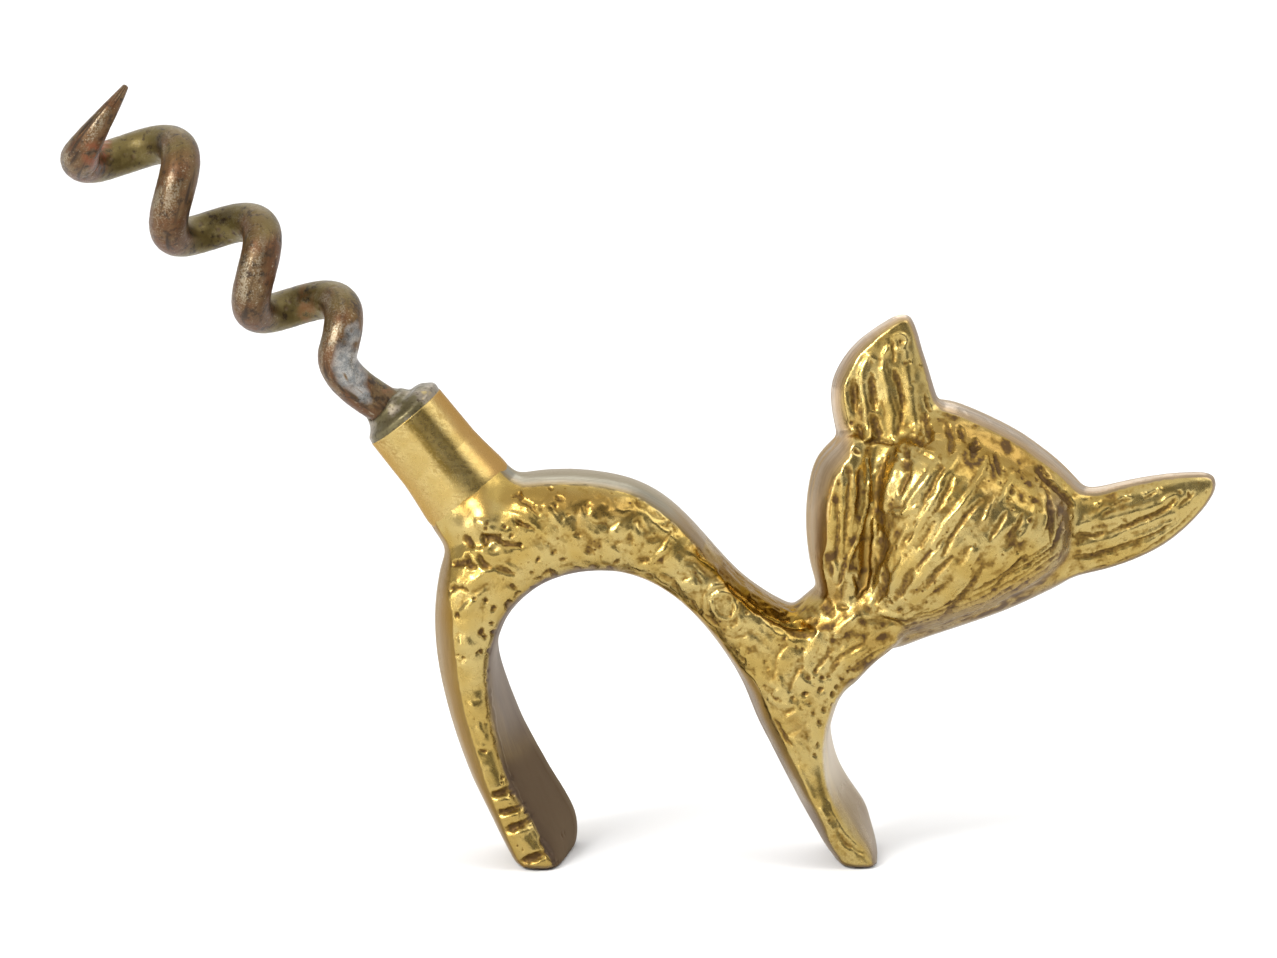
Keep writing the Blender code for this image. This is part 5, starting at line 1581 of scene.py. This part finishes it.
def cast_brass():
    """Old polished brass, bright on what stands up and brown with oxide in what lies deep."""
    material, n, shader, place = start_material("cat_brass")
    tarnish, dull = kept_number(n, "tarnish"), kept_number(n, "dull")
    worked, warm = kept_number(n, "worked"), kept_number(n, "warm")
    cloud = n.noise(place, 5 * MM, 3.0)
    blot = n.noise(place, 1.2 * MM, 3.0, 0.6)
    speck = n.noise(place, 0.32 * MM, 3.0, 0.6)
    lines = brushed(n, place, 0.16 * MM)

    # Clean brass, cloudy on the faces and brushed on the bands; on the bands a painted reflection,
    # pale grey at the rim and darker beside the face; honey brown in places, partly stain and
    # partly painted shade and reflection
    clean = n.mixed(n.spread(cloud, 0.38, 0.62), paint("brass"), paint("pale_brass"))
    across, streaked = kept_number(n, "band"), n.spread(lines, 0.35, 0.65, 0.88, 1.12)
    band = n.mixed(n.spread(across, 0.0, 0.5), paint("band_rim_sheen"), paint("band_middle"))
    band = n.mixed(n.spread(across, 0.4, 1.0), band, paint("band_inner_shade"))
    band = n.mixed(n.times(kept_number(n, "cool"), 0.85), band, paint("band_cool_sheen"))
    band = n.vector("SCALE", band, scale=n.times(kept_number(n, "tone"), streaked))
    clean = n.mixed(n.spread(worked, 0.8, 0.2), clean, band)
    # Honey brown: partly stain, partly painted shade and reflection
    honey = n.mixed(n.spread(warm, 0.86, 0.97), paint("honey"), paint("deep_amber"))
    clean = n.mixed(n.times(warm, n.spread(cloud, 0.3, 0.6, 0.65, 1.0)), clean, honey)

    # Oxide in the marks and the deep, with soft spots and small dots
    stain = n.plus(tarnish, n.times(n.minus(speck, 0.5), 0.9))
    stain = n.plus(stain, n.times(n.minus(blot, 0.5), 0.35))
    stain = n.times(stain, n.spread(worked, 0.0, 1.0, 0.35, 1.0))
    dots = n.add("ShaderNodeTexVoronoi", Vector=place, Scale=1.0 / (0.55 * MM))
    picked = n.add("ShaderNodeSeparateColor", Color=dots.outputs["Color"]).outputs[0]
    dot = n.spread(dots.outputs["Distance"], 0.30, 0.14)
    dot = n.times(dot, n.spread(picked, 0.55, 0.75))
    dot = n.times(n.times(dot, worked), kept_number(n, "speckled"))
    dot = n.times(dot, n.spread(blot, 0.40, 0.60, 0.15, 0.9))
    stain = n.plus(stain, n.times(dot, 0.5))
    amber = n.spread(stain, 0.06, 0.55)
    brown = n.spread(stain, 0.40, 0.85)
    tone = n.mixed(n.times(amber, 0.9), clean, paint("amber"))
    tone = n.mixed(brown, tone, paint("oxide"))

    # A dull film where it was never polished, with painted shade on the hind paw's lower inner face
    # and a painted floor reflection on the fore leg
    streak = n.plus(n.times(lines, 0.35), n.times(cloud, 0.6))
    film = n.times(dull, n.spread(streak, 0.30, 0.62, 0.80, 1.0))
    # Painted shade: the hind paw's lower inner face is darker near the floor
    foot = kept_number(n, "foot")
    film = n.larger(film, n.times(foot, n.spread(dull, 0.1, 0.6)))
    bare = n.mixed(foot, paint("dull"), paint("paw_shade_tint"))
    # Painted floor reflection: the fore leg's inner face is paler
    bare = n.mixed(kept_number(n, "pale"), bare, paint("floor_reflection_tint"))
    tone = n.mixed(film, tone, bare)
    n.put(shader.inputs["Base Color"], tone)
    shader.inputs["Specular Tint"].default_value = paint("grazing")
    filmed = n.times(film, n.spread(foot, 0.0, 1.0, 0.60, 0.10))
    covered = n.larger(n.times(brown, 0.35), filmed)
    n.put(shader.inputs["Metallic"], n.minus(1.0, covered))
    rough = n.spread(stain, 0.0, 0.7, 0.25, 0.52)
    rough = n.larger(rough, n.times(film, 0.52))
    n.put(shader.inputs["Roughness"], rough)

    # Fine relief: mottle and scratches on the faces, brushed lines on the bands
    scratch = n.noise(place, 0.16 * MM, 4.0, 0.65)
    mottle = n.noise(place, 0.5 * MM, 2.0, 0.6)
    rolled = n.times(worked, kept_number(n, "speckled"))
    coarse = bumped(n, mottle, n.times(rolled, 0.35), 0.06 * MM)
    fine = bumped(n, scratch, 0.16, 0.04 * MM, coarse)
    side = n.minus(1.0, worked)
    relief = bumped(n, lines, n.times(side, 0.16), 0.04 * MM, fine)
    n.put(shader.inputs["Normal"], relief)
    return material


def turned_brass():
    """Smoother brass of the ferrule and the braze, with drawn lines, a painted reflection stripe
    and flanks, and some stain.
    """
    made = bpy.data.materials.get("sleeve_brass")
    if made:
        return made
    material, n, shader, place = start_material("sleeve_brass")
    tilt = bpy.context.scene.cat_ferrule.tilt
    turning = n.add("ShaderNodeMapping", {"vector_type": "POINT"}, Vector=place)
    turning.inputs["Rotation"].default_value = (0.0, tilt, 0.0)
    turning.inputs["Scale"].default_value = (0.06, 1.0, 1.0)
    lines = n.noise(turning.outputs[0], 0.3 * MM, 3.0, 0.6)
    cloud = n.noise(place, 3 * MM, 4.0)
    speck = n.noise(place, 0.35 * MM, 3.0, 0.6)
    clean = n.mixed(n.spread(cloud, 0.38, 0.65), paint("sleeve"), paint("pale_sleeve"))
    stain = n.times(n.spread(cloud, 0.50, 0.66), n.spread(speck, 0.46, 0.60))
    streak = n.times(n.spread(lines, 0.52, 0.64), n.spread(cloud, 0.42, 0.60))
    stain = n.larger(stain, n.times(streak, 0.7))
    tone = n.mixed(n.times(stain, 0.6), clean, paint("amber"))
    # Painted reflection: the dark stripe and the orange flanks of the sleeve
    stripe = n.times(kept_number(n, "stripe"), n.spread(speck, 0.35, 0.60, 0.65, 1.0))
    tone = n.mixed(stripe, tone, paint("stripe"))
    tone = n.mixed(n.times(kept_number(n, "flank"), 0.8), tone, paint("flank"))
    n.put(shader.inputs["Base Color"], tone)
    shader.inputs["Specular Tint"].default_value = paint("grazing")
    shader.inputs["Metallic"].default_value = 1.0
    n.put(shader.inputs["Roughness"], n.spread(speck, 0.3, 0.7, 0.24, 0.34))
    fine = bumped(n, speck, 0.10, 0.04 * MM)
    n.put(shader.inputs["Normal"], bumped(n, lines, 0.20, 0.05 * MM, fine))
    return material


def solder_metal():
    """Grey solder, stained brown and brassy in clouds."""
    material, n, shader, place = start_material("grey_solder")
    cloud = n.noise(place, 1.8 * MM, 3.0)
    speck = n.noise(place, 0.3 * MM, 4.0, 0.65)
    tone = n.mixed(n.spread(cloud, 0.43, 0.61), paint("solder_brown"), paint("solder"))
    tone = n.mixed(n.spread(speck, 0.52, 0.72), tone, paint("umber"))
    tone = n.mixed(n.times(n.spread(cloud, 0.62, 0.70), 0.7), tone, paint("pale_brass"))
    n.put(shader.inputs["Base Color"], tone)
    shader.inputs["Metallic"].default_value = 0.75
    n.put(shader.inputs["Roughness"], n.spread(speck, 0.3, 0.7, 0.30, 0.46))
    n.put(shader.inputs["Normal"], bumped(n, speck, 0.25, 0.05 * MM))
    return material


def worn_steel():
    """Steel wire: brown with rust outside, olive inside the turns, bare near the ferrule."""
    material, n, shader, place = start_material("worm_steel")
    pits, far, bare = kept_number(n, "pits"), kept_number(n, "far"), kept_number(n, "bare")
    streaks = kept_number(n, "streaks")
    cloud = n.noise(place, 4.0 * MM, 4.0, 0.6)
    blot = n.noise(place, 0.9 * MM, 4.0, 0.7)
    speck = n.noise(place, 0.18 * MM, 4.0, 0.7)

    # Brown rust outside and olive on the far half of the coil and on faces that look up, with
    # flecks of clean steel, partly painted highlights
    rusty = n.mixed(n.spread(cloud, 0.40, 0.62), paint("rust"), paint("brown_steel"))
    rusty = n.mixed(n.spread(blot, 0.50, 0.66), rusty, paint("umber"))
    rusty = n.mixed(n.spread(streaks, 0.55, 0.85), rusty, paint("umber"))
    film = n.mixed(n.spread(blot, 0.50, 0.68), paint("olive"), paint("umber"))
    tone = n.mixed(n.times(far, 0.92), rusty, film)
    flecks = n.plus(n.times(streaks, -0.35), speck)
    worn = n.times(n.spread(flecks, 0.45, 0.52), n.spread(blot, 0.54, 0.44))
    flaked = n.times(n.spread(flecks, 0.33, 0.42), kept_number(n, "rubbed"))
    worn = n.larger(worn, n.times(flaked, n.spread(cloud, 0.35, 0.60)))
    worn = n.times(worn, n.spread(far, 0.2, 0.8, 1.0, 0.3))
    tone = n.mixed(n.times(worn, 0.62), tone, paint("fleck"))

    # Copper stains, bare steel near the ferrule, and oxide in the pits
    stained = n.times(kept_number(n, "copper"), n.spread(blot, 0.60, 0.45))
    tone = n.mixed(stained, tone, paint("copper"))
    scraped = n.mixed(n.spread(blot, 0.42, 0.56), paint("steel"), paint("bare_steel"))
    scraped = n.mixed(n.spread(streaks, 0.60, 0.85), scraped, paint("brown_steel"))
    tone = n.mixed(n.times(bare, n.spread(blot, 0.72, 0.60)), tone, scraped)
    deep = n.larger(n.times(pits, 0.9), n.spread(speck, 0.40, 0.32))
    tone = n.mixed(n.times(deep, 0.8), tone, paint("oxide"))
    n.put(shader.inputs["Base Color"], tone)
    metal = n.plus(0.62, n.times(n.plus(worn, bare), 0.3), clamp=True)
    n.put(shader.inputs["Metallic"], n.times(metal, n.spread(deep, 0.0, 1.0, 1.0, 0.4)))
    rough = n.spread(speck, 0.3, 0.7, 0.50, 0.34)
    n.put(shader.inputs["Roughness"], n.minus(rough, n.times(bare, 0.14)))
    n.put(shader.inputs["Normal"], bumped(n, speck, 0.40, 0.06 * MM))
    return material


def floor_paper():
    """The matt white of the floor."""
    material, _, shader, _ = start_material("pale_floor")
    shader.inputs["Base Color"].default_value = (0.88, 0.88, 0.88, 1.0)
    shader.inputs["Roughness"].default_value = 0.9
    shader.inputs["Specular IOR Level"].default_value = 0.1
    return material


# Stage


def area_light(name, place, target, size, power, tall):
    """A softbox that the camera doesn't see, turned to its target."""
    data = bpy.data.lights.new(name, "AREA")
    data.shape = "RECTANGLE"
    data.size = size
    data.size_y = size * tall
    data.energy = power
    made = bpy.data.objects.new(name, data)
    bpy.context.scene.collection.objects.link(made)
    made.location = place
    made.visible_camera = False
    made.rotation_mode = "QUATERNION"
    made.rotation_quaternion = (Vector(target) - Vector(place)).to_track_quat("-Z", "Y")


def build_surround():
    """A pale surround with two darker patches: one at the left, one up in front on the right."""
    world = bpy.data.worlds.new("studio")
    bpy.context.scene.world = world
    world.use_nodes = True
    n = Nodes(world.node_tree)
    way = n.add("ShaderNodeTexCoord").outputs["Generated"]
    tone = (1.0, 1.0, 1.0, 1.0)
    for toward, low, high, level in DARK_PATCHES:
        aim = Vector(toward).normalized()
        part = n.spread(n.vector("DOT_PRODUCT", way, tuple(aim)), low, high)
        tone = n.mixed(part, tone, (level, level * 0.97, level * 0.93, 1.0))
    back = world.node_tree.nodes["Background"]
    n.put(back.inputs["Color"], tone)
    back.inputs["Strength"].default_value = bpy.context.scene.cat_stage.surround


# Dark patches of the surround: the way towards the middle, where it starts and ends, and its level
DARK_PATCHES = (
    ((-1.0, -0.10, 0.15), 0.50, 0.90, 0.60),
    ((0.45, -0.82, 0.36), 0.80, 0.95, 0.21),
)


def build_stage():
    """The floor, the surround, the softboxes and the camera."""
    s = bpy.context.scene.cat_stage
    mesh = bpy.data.meshes.new("pale_floor")
    r = s.floor_reach
    mesh.from_pydata([(-r, -r, 0), (r, -r, 0), (r, r, 0), (-r, r, 0)], [], [(0, 1, 2, 3)])
    floor = new_piece("pale_floor", mesh, floor_paper())
    build_surround()
    for name, place, target, size, tall in SOFTBOXES:
        area_light(name, place, target, size, getattr(s, name + "_power"), tall)

    scene = bpy.context.scene
    scene.view_settings.view_transform = "Standard"
    camera = bpy.data.cameras.new("camera")
    camera.sensor_width = 36.0
    camera.lens = s.lens
    camera.clip_start, camera.clip_end = 0.05, 60.0
    eye = bpy.data.objects.new("camera", camera)
    scene.collection.objects.link(eye)
    back_way = Vector((0.0, -math.cos(s.lift), math.sin(s.lift)))
    eye.location = CAMERA_AIM + back_way * s.distance
    eye.rotation_mode = "QUATERNION"
    eye.rotation_quaternion = (-back_way).to_track_quat("-Z", "Y")
    scene.camera = eye


# What the camera looks at
CAMERA_AIM = Vector((-0.0004, MIDPLANE, 0.0358))

# Softboxes: name, place, what it is turned to, width, and height over width
SOFTBOXES = (
    ("key", (-0.45, -0.50, 0.55), (0, 0, 0.03), 0.24, 1.0),
    ("fill", (0.5, -0.2, 0.7), (0, 0, 0.03), 0.5, 1.0),
    ("side", (-0.72, -0.46, 0.22), (0, 0, 0.04), 0.10, 4.0),
    ("low", (-0.52, -0.76, 0.13), (0, 0, 0.03), 0.20, 1.0),
    ("rear", (0.0, 1.9, 1.6), (0, 1.6, 0.0), 1.4, 1.0),
)


# Operators and panel


class CORKSCREW_OT_casting(bpy.types.Operator):
    """Make the brass cat's skin with its ground bands, lumps and worked marks"""

    bl_idname = "corkscrew.casting"
    bl_label = "Brass Cat"

    def execute(self, context):
        build_casting()
        return {"FINISHED"}


class CORKSCREW_OT_ferrule(bpy.types.Operator):
    """Make the turned ferrule and the brazed lip at its foot"""

    bl_idname = "corkscrew.ferrule"
    bl_label = "Ferrule and Braze"

    def execute(self, context):
        build_ferrule()
        build_braze()
        return {"FINISHED"}


class CORKSCREW_OT_solder(bpy.types.Operator):
    """Make the solder mound between the ferrule and the worm"""

    bl_idname = "corkscrew.solder"
    bl_label = "Solder Mound"

    def execute(self, context):
        build_solder()
        return {"FINISHED"}


class CORKSCREW_OT_worm(bpy.types.Operator):
    """Wind the steel worm and pit its surface"""

    bl_idname = "corkscrew.worm"
    bl_label = "Steel Worm"

    def execute(self, context):
        build_worm()
        return {"FINISHED"}


class CORKSCREW_OT_stage(bpy.types.Operator):
    """Set the floor, the surround, the lights and the camera"""

    bl_idname = "corkscrew.stage"
    bl_label = "Studio"

    def execute(self, context):
        build_stage()
        return {"FINISHED"}


# In the order in which they run: the solder is fitted to the worm
OPERATORS = (
    CORKSCREW_OT_casting,
    CORKSCREW_OT_ferrule,
    CORKSCREW_OT_worm,
    CORKSCREW_OT_solder,
    CORKSCREW_OT_stage,
)
GROUPS = {
    "cat_casting": CastingSizes,
    "cat_ferrule": FerruleSizes,
    "cat_worm": WormSizes,
    "cat_solder": SolderSizes,
    "cat_finish": FinishColours,
    "cat_stage": StageSizes,
}


class CORKSCREW_PT_pieces(bpy.types.Panel):
    """Lists the pieces and their sizes in the 3D view's sidebar"""

    bl_idname = "CORKSCREW_PT_pieces"
    bl_label = "Brass Cat Corkscrew"
    bl_space_type = "VIEW_3D"
    bl_region_type = "UI"
    bl_category = "Corkscrew"

    def draw(self, context):
        for operator in OPERATORS:
            self.layout.operator(operator.bl_idname)
        for name, group in GROUPS.items():
            box = self.layout.box()
            box.label(text=group.__name__)
            for key in group.__annotations__:
                box.prop(getattr(context.scene, name), key)


def register():
    for name, group in GROUPS.items():
        bpy.utils.register_class(group)
        setattr(bpy.types.Scene, name, PointerProperty(type=group))
    for operator in OPERATORS:
        bpy.utils.register_class(operator)
    bpy.utils.register_class(CORKSCREW_PT_pieces)


def unregister():
    bpy.utils.unregister_class(CORKSCREW_PT_pieces)
    for operator in reversed(OPERATORS):
        bpy.utils.unregister_class(operator)
    for name, group in GROUPS.items():
        delattr(bpy.types.Scene, name)
        bpy.utils.unregister_class(group)


def main():
    register()
    bpy.ops.corkscrew.casting()
    bpy.ops.corkscrew.ferrule()
    bpy.ops.corkscrew.worm()
    bpy.ops.corkscrew.solder()
    bpy.ops.corkscrew.stage()


if __name__ == "__main__":
    main()
